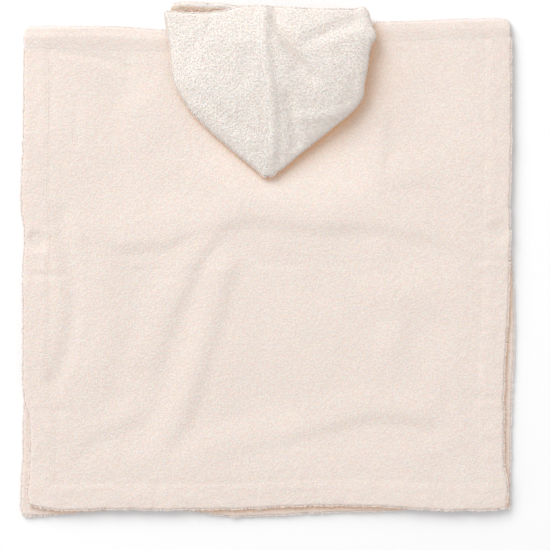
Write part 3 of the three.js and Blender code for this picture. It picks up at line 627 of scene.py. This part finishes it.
def hood_half(side):
    sign = -1 if side == "left" else 1
    rows = [hood_row(offset, side) for offset in hood_offsets]
    outer, inner = [row[0] for row in rows], [row[1] for row in rows]
    centre = np.array([TIP["x"], 0, TIP["z"]])
    for step in range(1, TIP_STEPS + 1):
        angle = math.radians(88.5) * step / TIP_STEPS
        shrink = np.array([math.cos(angle), 0, math.cos(angle)])
        for face, reach in ((outer, LAST_Y - TIP["y"]), (inner, LAST_Y - TIP["y"] - TIP["wall"])):
            last = rows[-1][0] if face is outer else rows[-1][1]
            row = centre + (last - centre) * shrink
            row[:, 0] += sign * SEAM_MEETS * (1 - math.cos(angle))
            row[:, 1] = LAST_Y - reach * math.sin(angle)
            face.append(row)
    outer, inner = np.array(outer), np.array(inner)
    relief = np.random.RandomState(6 + sign).uniform(-1, 1, outer.shape[:2]) * 0.16
    relief[:, 0] = relief[:, -1] = relief[0] = 0
    outer[..., 2] += relief * (np.arange(outer.shape[1]) < CROWN)
    return outer, inner


# %% [markdown]
# The hood goes on below the chin: this part is sewn to the front neckline, comes up through the neck
# opening and lies on the shoulders as the far lip of the mouth. It is the far wall that one sees
# when looking into the hood.

# %% Chin part of a half
CHIN_START, CHIN_RISE, CHIN_INSET = 6.0, 16.0, 7.5
CHIN_LEVEL = 7.5       # its underside on the shoulders
LIP_CURL = 2.5         # its edge stands up this much where the mouth is open
LIP_RIM, LIP_ROWS = 4.5, 6     # width of its rim in the hood's own colour, and the rows of faces that make it; further in, the colour is painted shade


def hood_chin(side):
    sign = -1 if side == "left" else 1
    start = HOOD[0, HOOD_COLUMNS.index("seam")] + sign * SEAM_MEETS
    end = sign * (NECK_HALF - SEAM_GAP)
    outside = sign * max(abs(HOOD[0, HOOD_COLUMNS.index(side)]) - CHIN_INSET, NECK_HALF + 0.6)
    x = np.append(np.linspace(start, end, 46), outside)
    low = front_neck(x) + SEAM_GAP
    low[-1] = float(curve(SHOULDER_FOLD, x[-1])) + 1
    rise_from = neck_line(x) + CHIN_START
    lip = curve(FAR_LIP, x) + drift(x, 0, 8, 51) * 0.5
    steps = np.linspace(0, 1, 34)[:, None]
    y = low + (lip - low) * (1 - (1 - steps) ** 1.5)
    bottom = CHIN_LEVEL * smooth((y - rise_from) / CHIN_RISE)
    from_lip = lip - y
    thick = CLOTH - 0.2 + 1.8 * (1 - smooth((from_lip - HOOD_HEM) / 4))
    rim = rounded(from_lip, thick)
    xs = np.broadcast_to(x, y.shape)
    curl = LIP_CURL * smooth((y - lip + 14) / 12) * smooth((-xs - 8) / 40)
    top = bottom + curl + thick + drift(xs, y, 13, 53) * 0.3 - rim
    return stacked(xs, y, top), stacked(xs, y, bottom + curl + rim)


# %% Build both halves
hood_cloth = {}
hood_outer = {}
hood_shell = {}
chin_lip = {}
for side in ("left", "right"):
    outer, inner = hood_half(side)
    hood_outer[side] = outer
    shell, shell_faces = closed_sheet(outer, inner, flip=side == "right")
    hood_shell[side] = len(shell_faces)
    high, low = hood_chin(side)
    chin, chin_faces = closed_sheet(high, low, flip=side == "left")
    chin_lip[side] = [len(shell_faces) + (len(high) - 1 - back) * (high.shape[1] - 1) for back in (LIP_ROWS, 0)]
    vertices = np.concatenate([shell, chin])
    faces = shell_faces + [[k + len(shell) for k in face] for face in chin_faces]
    hood_cloth[side] = link("hood_cloth_" + side, vertices, faces)
    print("hood", side, len(faces), "faces, highest", round(float(outer[..., 2].max()), 1), "mm")

# %% [markdown]
# ## Press studs
# A sprung stud has a domed cap on the outside and a socket or a post inside, both turned from the same
# axis. The lower half sits in the front panel and the upper half in the back panel, pressed
# together. The cap's edge is rounded, because a moulded part has no sharp edge.

# %% Turn the studs
STUD_SIDES = 56
BACK_STUD = [(0, 5.3), (2.5, 5.3), (2.5, 4.2), (4.6, 4.2), (4.6, 6.0), (1.6, 6.0), (1.6, 8.2), (5.6, 8.2),
             (5.9, 8.3), (6.0, 8.55), (5.95, 8.9), (5.7, 9.2), (5.3, 9.45), (4.9, 9.5), (4.5, 9.42),
             (4.1, 9.45), (3.0, 9.6), (1.5, 9.68), (0, 9.7)]
FRONT_STUD = [(0, 0.2), (3.0, 0.22), (4.9, 0.3), (5.5, 0.42), (5.9, 0.65), (6.0, 0.95), (5.9, 1.2), (1.6, 1.2),
              (1.6, 3.1), (4.4, 3.1), (4.4, 3.9), (2.2, 3.9), (2.2, 4.8), (1.6, 5.0), (0, 5.0)]


def lathe(name, profile, place):
    """Solid of revolution round the vertical axis through a place."""
    angles = np.arange(STUD_SIDES) * 2 * math.pi / STUD_SIDES
    rings = [(x, z) for x, z in profile if x > 0]
    vertices = [(place[0] + r * math.cos(a), place[1] + r * math.sin(a), z) for r, z in rings for a in angles]
    grid = np.arange(len(vertices)).reshape(len(rings), STUD_SIDES)
    around = np.concatenate([grid, grid[:, :1]], axis=1)
    faces = list(quads(around))
    foot, head = len(vertices), len(vertices) + 1
    vertices += [(*place, profile[0][1]), (*place, profile[-1][1])]
    for k in range(STUD_SIDES):
        faces.append([foot, around[0, k + 1], around[0, k]])
        faces.append([head, around[-1, k], around[-1, k + 1]])
    return link(name, vertices, faces)


studs = {}
for name, place in STUDS.items():
    studs["stud_back_" + name] = lathe("cap_back_" + name, BACK_STUD, place)
    studs["stud_front_" + name] = lathe("cap_front_" + name, FRONT_STUD, place)
print("studs", sorted(studs))

# %% [markdown]
# ## Topstitching
# A hem is held by a row of lock stitches. Each stitch is a short length of thread that goes into the
# pile at both ends, so it is drawn as a small bowed capsule. On terry the stitches sink in and only
# their backs show.

# %% Stitches along a line
PITCH, THREAD = 3.3, 0.4


def tube_set(name, centres, along, upward, radii, sides):
    """Closed tubes: centres has one row of points a tube; along and upward give each ring's frame."""
    count, rings = centres.shape[:2]
    across = np.cross(along, upward)
    angles = np.arange(sides) * 2 * math.pi / sides
    ring = (across[:, :, None] * np.cos(angles)[None, None, :, None]
            + upward[:, :, None] * np.sin(angles)[None, None, :, None]) * radii[None, :, None, None]
    vertices = (centres[:, :, None] + ring).reshape(-1, 3)
    one = []
    for r in range(rings - 1):
        for s in range(sides):
            t = (s + 1) % sides
            one.append([r * sides + s, r * sides + t, (r + 1) * sides + t, (r + 1) * sides + s])
    ends = [list(range(sides))[::-1], list(range((rings - 1) * sides, rings * sides))]
    faces = []
    for k in range(count):
        start = k * rings * sides
        faces += [[v + start for v in face] for face in one + ends]
    return link(name, vertices, faces)


def unit(v):
    return v / np.linalg.norm(v, axis=-1, keepdims=True)


def stitch_rows(name, lines):
    """One object with all stitches along some lines on the cloth."""
    starts, ends = [], []
    for line in lines:
        length = np.linalg.norm(np.diff(line, axis=0), axis=1).sum()
        marks = even(line, int(length / PITCH) * 4 + 1)
        starts.append(marks[0:-3:4])
        ends.append(marks[3::4])
    a, b = np.concatenate(starts), np.concatenate(ends)
    t = np.linspace(0, 1, 5)[None, :, None]
    centres = a[:, None] * (1 - t) + b[:, None] * t
    centres[..., 2] += 0.3 * np.sin(np.pi * t[..., 0]) - 0.22
    along = np.broadcast_to(unit(b - a)[:, None], centres.shape)
    upward = np.broadcast_to([0.0, 0.0, 1.0], centres.shape)
    radii = THREAD * np.array([0.55, 0.95, 1.0, 0.95, 0.55])
    return tube_set(name, centres, along, upward, radii, 6)


def on_back(across, up):
    x, y, top, low = back_surface(np.asarray(across, float), np.asarray(up, float))
    return stacked(x, y, top)


run = np.arange(HEM, BACK_LENGTH - 6, 2.0)
level = np.arange(HEM, 2 * HALF - HEM + 1, 2.0)
panel_lines = [on_back(np.full(len(run), HEM), run),
               on_back(level, np.full(len(level), HEM)),
               on_back(np.full(len(run), 2 * HALF - HEM), run)]
panel_stitches = stitch_rows("stitches_back_hem", panel_lines)
hem_row = int(np.argmin(np.abs(hood_offsets - HOOD_HEM)))
hood_stitches = stitch_rows("stitches_hood_hem", [hood_outer[side][hem_row, 2:CROWN - 2] for side in hood_outer])
print("stitches", len(panel_stitches.data.polygons) // 26, len(hood_stitches.data.polygons) // 26)

# %% [markdown]
# ## Loops along the edges
# Terry has loops of soft yarn on both faces. Seen against a bright ground they make the outline of the
# cloth soft. Real loops stand about 1 mm apart in millions, so only those along the outlines
# are drawn one by one, as small arcs of three-sided yarn.

# %% Scatter loops on outlines
YARN = 0.24            # radius of the yarn of a small loop
EDGE_LOOP = (1.6, 2.4)       # size beside the small loop, and how far it stands out, millimetres
HOOD_LOOP = (1.55, 0.95)


def loops(name, points, outward, seed, size, stand):
    """Loops at points, each bowed out along its own outward direction."""
    dice = np.random.RandomState(seed)
    count = len(points)
    outward = unit(outward + dice.normal(0, 0.35, (count, 3)))
    sideways = unit(np.cross(outward, unit(dice.normal(0, 1, (count, 3)))))
    height = stand * dice.uniform(0.5, 1.0, (count, 1))
    width = size * dice.uniform(0.45, 0.8, (count, 1))
    angle = np.linspace(-0.15, math.pi + 0.15, 5)
    centres = (points[:, None] - 0.2 * outward[:, None]
               + sideways[:, None] * (width * np.cos(angle))[..., None]
               + outward[:, None] * (height * np.sin(angle))[..., None])
    centres[..., 2] = np.maximum(centres[..., 2], 0.5)
    along = unit(np.gradient(centres, axis=1))
    flat = unit(np.cross(outward, sideways))[:, None]
    upward = np.broadcast_to(flat, centres.shape)
    return tube_set(name, centres, along, upward, size * YARN * np.array([0.7, 1, 1, 1, 0.7]), 3)


def edge_points(line, heights, gap, seed):
    """Random points on the rim that stands on a line of x and y, and the ways that they face."""
    dice = np.random.RandomState(seed)
    length = np.linalg.norm(np.diff(line, axis=0), axis=1).sum()
    marks = even(line, int(length / gap))
    way = unit(np.gradient(marks, axis=0))
    low, high = heights
    share = dice.uniform(0.12, 0.95, len(marks))
    lean = (share - 0.5) * 1.8
    points = stacked(marks[:, 0], marks[:, 1], low + (high - low) * share)
    return points, stacked(way[:, 1], -way[:, 0], lean)


def joined(parts):
    return [np.concatenate(group) for group in zip(*parts)]


level = np.arange(0, 2 * HALF + 1, 3.0)
rise = np.arange(0, BACK_LENGTH, 3.0)
rim_lines = [on_back(np.zeros(len(rise)), rise[::-1]), on_back(level, np.zeros(len(level))),
             on_back(np.full(len(rise), 2 * HALF), rise)]
back_rim = joined([edge_points(line[:, :2], (2 * CLOTH, 2 * HEM_CLOTH), 0.62, 61 + k)
                   for k, line in enumerate(rim_lines)])
pile_back = loops("pile_back_edge", *back_rim, 71, *EDGE_LOOP)
front_lines = [front_low[:len(lying), 0][::-1], front_low[0], front_low[:len(lying), -1]]
front_rim = joined([edge_points(line[:, :2], (0.4, HEM_CLOTH), 0.75, 81 + k)
                    for k, line in enumerate(front_lines)])
fold_row = front_low[len(lying) - 1 + TURN_STEPS // 2]
fold_parts = [fold_row[rough <= -NECK_HALF][::-1], fold_row[rough >= NECK_HALF][::-1]]
fold_rim = joined([edge_points(line[:, :2], (1.0, 2 * CLOTH), 0.9, 91 + k)
                   for k, line in enumerate(fold_parts)])
pile_front = loops("pile_front_edge", *joined([front_rim, fold_rim]), 72, *EDGE_LOOP)


# %% [markdown]
# The hood's pile is longer than the panels', and the light falls across it, so that its loops show
# as a crisp grain. Here they are drawn one by one over all of the hood that is seen. They stand in
# rows like woven loops, a little out of line, and each leans its own way.

# %% Loops over the hood
HOOD_PITCH = 2.3       # millimetres; the real ones are closer and are drawn coarser


def pile_points(side, seed):
    """Points and outward directions over the crown and side fold of a half, and over its hem."""
    dice = np.random.RandomState(seed)
    outer = hood_outer[side][:, :CROWN + TURN - 2]
    step_down, step_over = np.gradient(outer, axis=0), np.gradient(outer, axis=1)
    normal = np.cross(step_over, step_down) * (1 if side == "left" else -1)
    points, ways, levels = [], [], []
    for level in np.arange(3.0, LIP_Y - TIP["y"] - 2, HOOD_PITCH):
        row = int(np.interp(level, hood_offsets, np.arange(len(hood_offsets))))
        run = np.concatenate([[0], np.cumsum(np.linalg.norm(np.diff(outer[row], axis=0), axis=1))])
        at = np.arange(dice.uniform(0, HOOD_PITCH), run[-1], HOOD_PITCH)
        at = np.clip(at + dice.uniform(-1.1, 1.1, len(at)), 0, run[-1])
        column = np.interp(at, run, np.arange(len(run)))
        down = level + dice.uniform(-1.3, 1.3, len(at))
        down = np.interp(down, hood_offsets, np.arange(len(hood_offsets)))
        i = np.minimum(column.astype(int), len(run) - 2)
        j = np.minimum(down.astype(int), len(outer) - 2)
        s, t = (column - i)[:, None], (down - j)[:, None]
        points.append((outer[j, i] * (1 - s) + outer[j, i + 1] * s) * (1 - t)
                      + (outer[j + 1, i] * (1 - s) + outer[j + 1, i + 1] * s) * t)
        ways.append(normal[j, i])
        levels.append(np.full(len(at), level))
    points, ways, levels = (np.concatenate(group) for group in (points, ways, levels))
    hem = levels < HOOD_HEM
    return (points[~hem], ways[~hem]), (points[hem], ways[hem])


def outline_points(side, seed):
    """Points on the face edge and along the side fold of a half, and the ways out from them."""
    dice = np.random.RandomState(seed)
    outer = hood_outer[side]
    lip = outer[1, dice.randint(1, CROWN, 260)] + stacked(dice.uniform(-1, 1, 260), np.zeros(260), np.zeros(260))
    up = stacked(np.zeros(260), np.ones(260), dice.uniform(-0.4, 0.8, 260))
    wall = outer[2:-1, CROWN - 1 + TURN // 4]
    wall = even(wall, 620)
    along = unit(np.gradient(wall, axis=0))
    way = stacked(along[:, 1], -along[:, 0], dice.uniform(-0.3, 0.9, 620))
    way[:, :2] *= np.sign(way[:, :1]) * (-1 if side == "left" else 1)
    return np.concatenate([lip, wall]), np.concatenate([up, way])


def chin_points(seed, near, far):
    """Points on the far lip between two distances from its edge, and the ways that they face."""
    dice = np.random.RandomState(seed)
    count = int((far - near) * 45)
    x = dice.uniform(-118, 0, count)
    y = curve(FAR_LIP, x) - dice.uniform(near, far, count)
    level = CHIN_LEVEL + CLOTH + LIP_CURL * smooth((-x - 8) / 40) + 0.8
    return stacked(x, y, level), stacked(0 * x, 0.3 + 0 * x, 1 + 0 * x)


far_x = np.linspace(-116, 0, 80)
far_line = stacked(far_x, curve(FAR_LIP, far_x), 0 * far_x)[::-1]
far_rim = edge_points(far_line[:, :2], (8.5, 11.8), 0.6, 95)
over_left, hem_left = pile_points("left", 96)
over_right, hem_right = pile_points("right", 97)
pile_left = loops("pile_hood_left", *over_left, 73, *HOOD_LOOP)
pile_right = loops("pile_hood_right", *over_right, 74, *HOOD_LOOP)
rim_parts = [hem_left, hem_right, chin_points(98, 0.5, LIP_RIM)]
outline_parts = [outline_points("left", 101), outline_points("right", 102), far_rim]
pile_outline = loops("pile_hood_outline", *joined(outline_parts), 77, *EDGE_LOOP)
pile_hem = loops("pile_hood_hem", *joined(rim_parts), 75, *HOOD_LOOP)
pile_chin = loops("pile_hood_inside", *chin_points(99, LIP_RIM, 14), 76, *HOOD_LOOP)
piles = (pile_back, pile_front, pile_left, pile_right, pile_hem, pile_outline, pile_chin)
print("loops", [len(thing.data.polygons) // 14 for thing in piles])

# %% [markdown]
# ## Terry towelling, cotton, woven with loops on both faces
# The loops catch the light at their tips and hold shade between them, which gives the fine grain.
# The yarn is matt, so it has almost no sharp reflection. Loose fibres at the surface scatter light at
# grazing angles, which the sheen stands for. Light also passes into the loops and comes out a little
# warmer, which the subsurface part stands for.

# %% Colour and node helpers
LIGHT_WAY = (-0.47, 0.64, 0.61)      # unit vector towards the large lamp


def colour(hexa):
    """Linear RGBA of an sRGB hex colour."""
    parts = [int(hexa[k:k + 2], 16) / 255 for k in (0, 2, 4)]
    return [p / 12.92 if p <= 0.04045 else ((p + 0.055) / 1.055) ** 2.4 for p in parts] + [1.0]


def add(tree, kind, inputs, **settings):
    """New node with its settings; inputs hold a value or the socket that feeds them."""
    node = tree.nodes.new(kind)
    for name, value in settings.items():
        setattr(node, name, value)
    for name, value in inputs.items():
        if isinstance(value, bpy.types.NodeSocket):
            tree.links.new(value, node.inputs[name])
        else:
            node.inputs[name].default_value = value
    return node


def sheltered(tree, low, high):
    """Socket that is 1 where something stands between a point and the lamp, and 0 in the open; colours mixed by it
    hold painted shadow.
    """
    way = add(tree, "ShaderNodeCombineXYZ", {"X": LIGHT_WAY[0], "Y": LIGHT_WAY[1], "Z": LIGHT_WAY[2]})
    sky = add(tree, "ShaderNodeAmbientOcclusion", {"Distance": 0.08, "Normal": way.outputs["Vector"]},
              samples=8)
    share = add(tree, "ShaderNodeMapRange", {"Value": sky.outputs["AO"], "From Min": low, "From Max": high,
                                             "To Min": 1.0, "To Max": 0.0})
    return share.outputs["Result"]


def blank(name):
    material = bpy.data.materials.new(name)
    material.use_nodes = True
    material.node_tree.nodes.clear()
    return material, material.node_tree


# %% Terry in three colours: the panels', the hood's painted lighter, and a copy painted in shade for inside the hood
LOOP_PITCH = 0.0026    # metres; real loops stand about 1 mm apart and are drawn coarser
CLUMP_PITCH = 0.007


def terry(name, tip, gap, rim, shaded, warm):
    material, tree = blank(name)
    place = add(tree, "ShaderNodeTexCoord", {}).outputs["Object"]
    cells = add(tree, "ShaderNodeTexVoronoi", {"Vector": place, "Scale": 1 / LOOP_PITCH, "Randomness": 1.0},
                feature="F1", voronoi_dimensions="3D")
    clumps = add(tree, "ShaderNodeTexNoise", {"Vector": place, "Scale": 1 / CLUMP_PITCH, "Detail": 3.0,
                                              "Roughness": 0.6})
    patches = add(tree, "ShaderNodeTexNoise", {"Vector": place, "Scale": 9.0, "Detail": 2.0})
    loops_up = add(tree, "ShaderNodeMapRange", {"Value": cells.outputs["Distance"], "From Min": 0.05,
                                                "From Max": 0.75, "To Min": 1.0, "To Max": 0.0})
    height = add(tree, "ShaderNodeMath", {0: clumps.outputs["Fac"], 1: 0.7,
                                          2: loops_up.outputs["Result"]}, operation="MULTIPLY_ADD")
    shade = add(tree, "ShaderNodeMapRange", {"Value": height.outputs["Value"], "From Min": 0.45,
                                             "From Max": 1.25})
    yarn = add(tree, "ShaderNodeMix", {"Factor": shade.outputs["Result"], "A": colour(gap), "B": colour(tip)},
               data_type="RGBA")
    soft = add(tree, "ShaderNodeMapRange", {"Value": patches.outputs["Fac"], "From Min": 0.3, "From Max": 0.7,
                                            "To Min": 0.97, "To Max": 1.0})
    # painted light: an oval patch round the hood's tip is painted up to 6% brighter
    from_tip = add(tree, "ShaderNodeVectorMath", {0: place, 1: (0.03, 0.122, 0.01)}, operation="SUBTRACT")
    oval = add(tree, "ShaderNodeVectorMath", {0: from_tip.outputs["Vector"], 1: (1.0, 2.4, 0.0)},
               operation="MULTIPLY")
    away = add(tree, "ShaderNodeVectorMath", {0: oval.outputs["Vector"]}, operation="LENGTH")
    painted_light_patch = add(tree, "ShaderNodeMapRange", {"Value": away.outputs["Value"], "From Min": 0.06,
                                               "From Max": 0.19, "To Min": 1.06, "To Max": 1.0},
                  interpolation_type="SMOOTHSTEP")
    value = add(tree, "ShaderNodeMath", {0: soft.outputs["Result"], 1: painted_light_patch.outputs["Result"]},
                operation="MULTIPLY")
    hue = add(tree, "ShaderNodeHueSaturation", {"Color": yarn.outputs["Result"],
                                                "Value": value.outputs["Value"]})
    surface = add(tree, "ShaderNodeNewGeometry", {})
    upward = add(tree, "ShaderNodeSeparateXYZ", {"Vector": surface.outputs["Normal"]})
    facing = add(tree, "ShaderNodeMapRange", {"Value": upward.outputs["Z"], "From Min": 0.3, "From Max": 0.8})
    # painted shade: where the surface turns steep, at rims and folded edges, the colour is mixed towards the greyer
    # rim colour
    steep_shade_share = add(tree, "ShaderNodeMapRange", {"Value": upward.outputs["Z"], "From Min": 0.5, "From Max": 0.98,
                                              "To Min": 1.0, "To Max": 0.0})
    turned = add(tree, "ShaderNodeMix", {"Factor": steep_shade_share.outputs["Result"], "A": hue.outputs["Color"],
                                         "B": colour(rim)}, data_type="RGBA")
    # painted shadow: on faces that look up, where the lamp is blocked, the colour is mixed towards the warm shaded
    # colour
    painted_shadow_share = add(tree, "ShaderNodeMath", {0: sheltered(tree, 0.08, 0.6), 1: facing.outputs["Result"]},
                 operation="MULTIPLY")
    painted_shadow_colour = add(tree, "ShaderNodeMix", {"Factor": painted_shadow_share.outputs["Value"], "A": turned.outputs["Result"],
                                       "B": colour(shaded)}, data_type="RGBA")
    bump = add(tree, "ShaderNodeBump", {"Height": height.outputs["Value"], "Strength": 0.42,
                                        "Distance": 0.0010})
    skin = add(tree, "ShaderNodeBsdfPrincipled", {
        "Base Color": painted_shadow_colour.outputs["Result"], "Roughness": 0.95, "IOR": 1.5, "Specular IOR Level": 0.2,
        "Sheen Weight": 0.25, "Sheen Roughness": 0.5, "Sheen Tint": colour("fff4ec"),
        "Subsurface Weight": 0.3, "Subsurface Radius": warm, "Subsurface Scale": 0.003,
        "Normal": bump.outputs["Normal"]})
    add(tree, "ShaderNodeOutputMaterial", {"Surface": skin.outputs["BSDF"]})
    return material


panel_terry = terry("terry_cotton_blush_looped", "f4eae2", "ecddd4", "e6dddb", "f5c59b", (1.0, 0.62, 0.42))
# painted light: the hood is the same cloth as the panels, and its colour is painted lighter
hood_terry = terry("terry_cotton_blush_looped_hood_painted_lighter", "faf3ed", "f1e9e2", "f3ece6", "f0e4dc", (1.0, 0.66, 0.48))
shaded_inside_terry = terry("terry_cotton_blush_inside_hood_painted_shade", "f8ebe0", "efdccc", "ecdacb", "f1d4ba", (1.0, 0.6, 0.4))
print("materials", panel_terry.name, hood_terry.name)

# %% [markdown]
# The studs are injection moulded in a resin of the same blush. A moulded face is smooth, with a soft
# satin shine. The sewing thread is spun polyester, a little denser and more even than the pile.

# %% Resin and thread
def plain(name, shade, roughness, ior, grain, depth):
    material, tree = blank(name)
    place = add(tree, "ShaderNodeTexCoord", {}).outputs["Object"]
    noise = add(tree, "ShaderNodeTexNoise", {"Vector": place, "Scale": 1 / grain, "Detail": 2.0})
    bump = add(tree, "ShaderNodeBump", {"Height": noise.outputs["Fac"], "Strength": 0.3, "Distance": depth})
    rough = add(tree, "ShaderNodeMapRange", {"Value": noise.outputs["Fac"], "To Min": roughness - 0.06,
                                             "To Max": roughness + 0.06})
    skin = add(tree, "ShaderNodeBsdfPrincipled", {
        "Base Color": colour(shade), "Roughness": rough.outputs["Result"], "IOR": ior,
        "Normal": bump.outputs["Normal"]})
    add(tree, "ShaderNodeOutputMaterial", {"Surface": skin.outputs["BSDF"]})
    return material


resin = plain("resin_moulded_satin_blush", "e9ded6", 0.42, 1.5, 0.0015, 0.00003)
thread = plain("thread_polyester_spun_blush", "fbf2ea", 0.8, 1.5, 0.0006, 0.00005)
yarn = plain("yarn_cotton_spun_blush", "f8efe9", 0.92, 1.5, 0.0008, 0.00005)

# %% Give every piece its material, and hide the solid that it replaces
def dress(thing, material, slot, *nodes):
    thing.data.materials.append(material)
    if nodes:
        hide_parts(*nodes)


dress(back_cloth, panel_terry, "terry", "back_panel")
dress(front_cloth, panel_terry, "terry", "front_panel")
dress(hood_cloth["left"], hood_terry, "hood_terry", "hood_left")
dress(hood_cloth["right"], hood_terry, "hood_terry", "hood_right")
# painted shade: inside the hood the chin part takes a darker, warmer copy of the hood's terry, and only the far lip's
# rim keeps the hood's own colour
for side, thing in hood_cloth.items():
    thing.data.materials.append(shaded_inside_terry)
    for face in thing.data.polygons[hood_shell[side]:]:
        face.material_index = 1
    for face in thing.data.polygons[chin_lip[side][0]:chin_lip[side][1]]:
        face.material_index = 0
for node, thing in studs.items():
    dress(thing, resin, "stud_resin", node)
for thing in (pile_back, pile_front):
    dress(thing, yarn, "terry")
dress(pile_left, hood_terry, "hood_terry")
dress(pile_right, hood_terry, "hood_terry")
dress(pile_hem, hood_terry, "hood_terry")
dress(pile_outline, yarn, "hood_terry")
# painted shade: the loops inside the mouth take the same darker copy
dress(pile_chin, shaded_inside_terry, "hood_terry")
dress(panel_stitches, thread, "terry")
dress(hood_stitches, thread, "hood_terry")

# %% [markdown]
# ## The shapes of the cut sheets
# The panels are near rectangles with a neckline cut out of one end. A hood half is a piece with
# a straight face edge and a pointed crown, so its area is much less than that of the rectangle
# round it.

# %% [markdown]
# ## Floor, light and camera
# The garment lies on a white sweep under one large soft lamp from the upper left. A white
# room fills the shadows. Next to the garment a grey shadow is painted into the floor's colour,
# and a warm shadow into the cloth's.

# %% Floor and lamps
FLOOR = 3.0            # metres, half size

mesh = bpy.data.meshes.new("floor")
mesh.from_pydata([(-FLOOR, -FLOOR, 0), (FLOOR, -FLOOR, 0), (FLOOR, FLOOR, 0), (-FLOOR, FLOOR, 0)], [], [(0, 1, 2, 3)])
floor = bpy.data.objects.new("floor", mesh)
bpy.context.scene.collection.objects.link(floor)
material, tree = blank("paper_white_matt")
# painted shadow: the floor turns from white to grey where the garment stands between it and the lamp
floor_painted_shadow = add(tree, "ShaderNodeMix", {"Factor": sheltered(tree, -0.2, 0.8), "A": colour("fdfdfd"),
                                   "B": colour("babbbe")}, data_type="RGBA")
skin = add(tree, "ShaderNodeBsdfPrincipled", {"Base Color": floor_painted_shadow.outputs["Result"], "Roughness": 0.9})
add(tree, "ShaderNodeOutputMaterial", {"Surface": skin.outputs["BSDF"]})
mesh.materials.append(material)


def lamp(name, power, size, place, aim):
    """Square area lamp at a place, turned towards a point."""
    data = bpy.data.lights.new(name, "AREA")
    data.energy = power
    data.size = size
    thing = bpy.data.objects.new(name, data)
    bpy.context.scene.collection.objects.link(thing)
    thing.location = place
    way = np.array(aim) - np.array(place)
    flat = math.hypot(way[0], way[1])
    thing.rotation_euler = (math.atan2(flat, -way[2]), 0, math.atan2(way[1], way[0]) - math.pi / 2)
    return thing


key = lamp("key", 158, 2.8, (-2.33, 3.18, 3.08), (0, 0, 0))
fill = lamp("fill", 9, 2.6, (3.7, -1.3, 2.8), (0.1, 0, 0))
world = bpy.data.worlds.new("studio")
world.use_nodes = True
world.node_tree.nodes["Background"].inputs["Color"].default_value = colour("ffffff")
world.node_tree.nodes["Background"].inputs["Strength"].default_value = 0.67
bpy.context.scene.world = world
bpy.context.scene.view_settings.view_transform = "Standard"

# %% [markdown]
# The camera looks straight down. Its distance and lens give a picture 686 mm wide at the cloth.

# %% Camera
PICTURE = 0.686        # width that the picture shows, metres
DISTANCE = 1.9
CLOTH_LEVEL = 0.01
SENSOR = 36.0
CENTRE = (9.98, -8.73)     # middle of the picture in the maker's frame

camera_data = bpy.data.cameras.new("camera")
camera_data.sensor_width = SENSOR
camera_data.lens = SENSOR * (DISTANCE - CLOTH_LEVEL) / PICTURE
camera = bpy.data.objects.new("camera", camera_data)
bpy.context.scene.collection.objects.link(camera)
camera.location = ((CENTRE[0] + SHIFT[0]) / 1000, (CENTRE[1] + SHIFT[1]) / 1000, DISTANCE)
bpy.context.scene.camera = camera
print("lens, mm", round(camera_data.lens, 1))
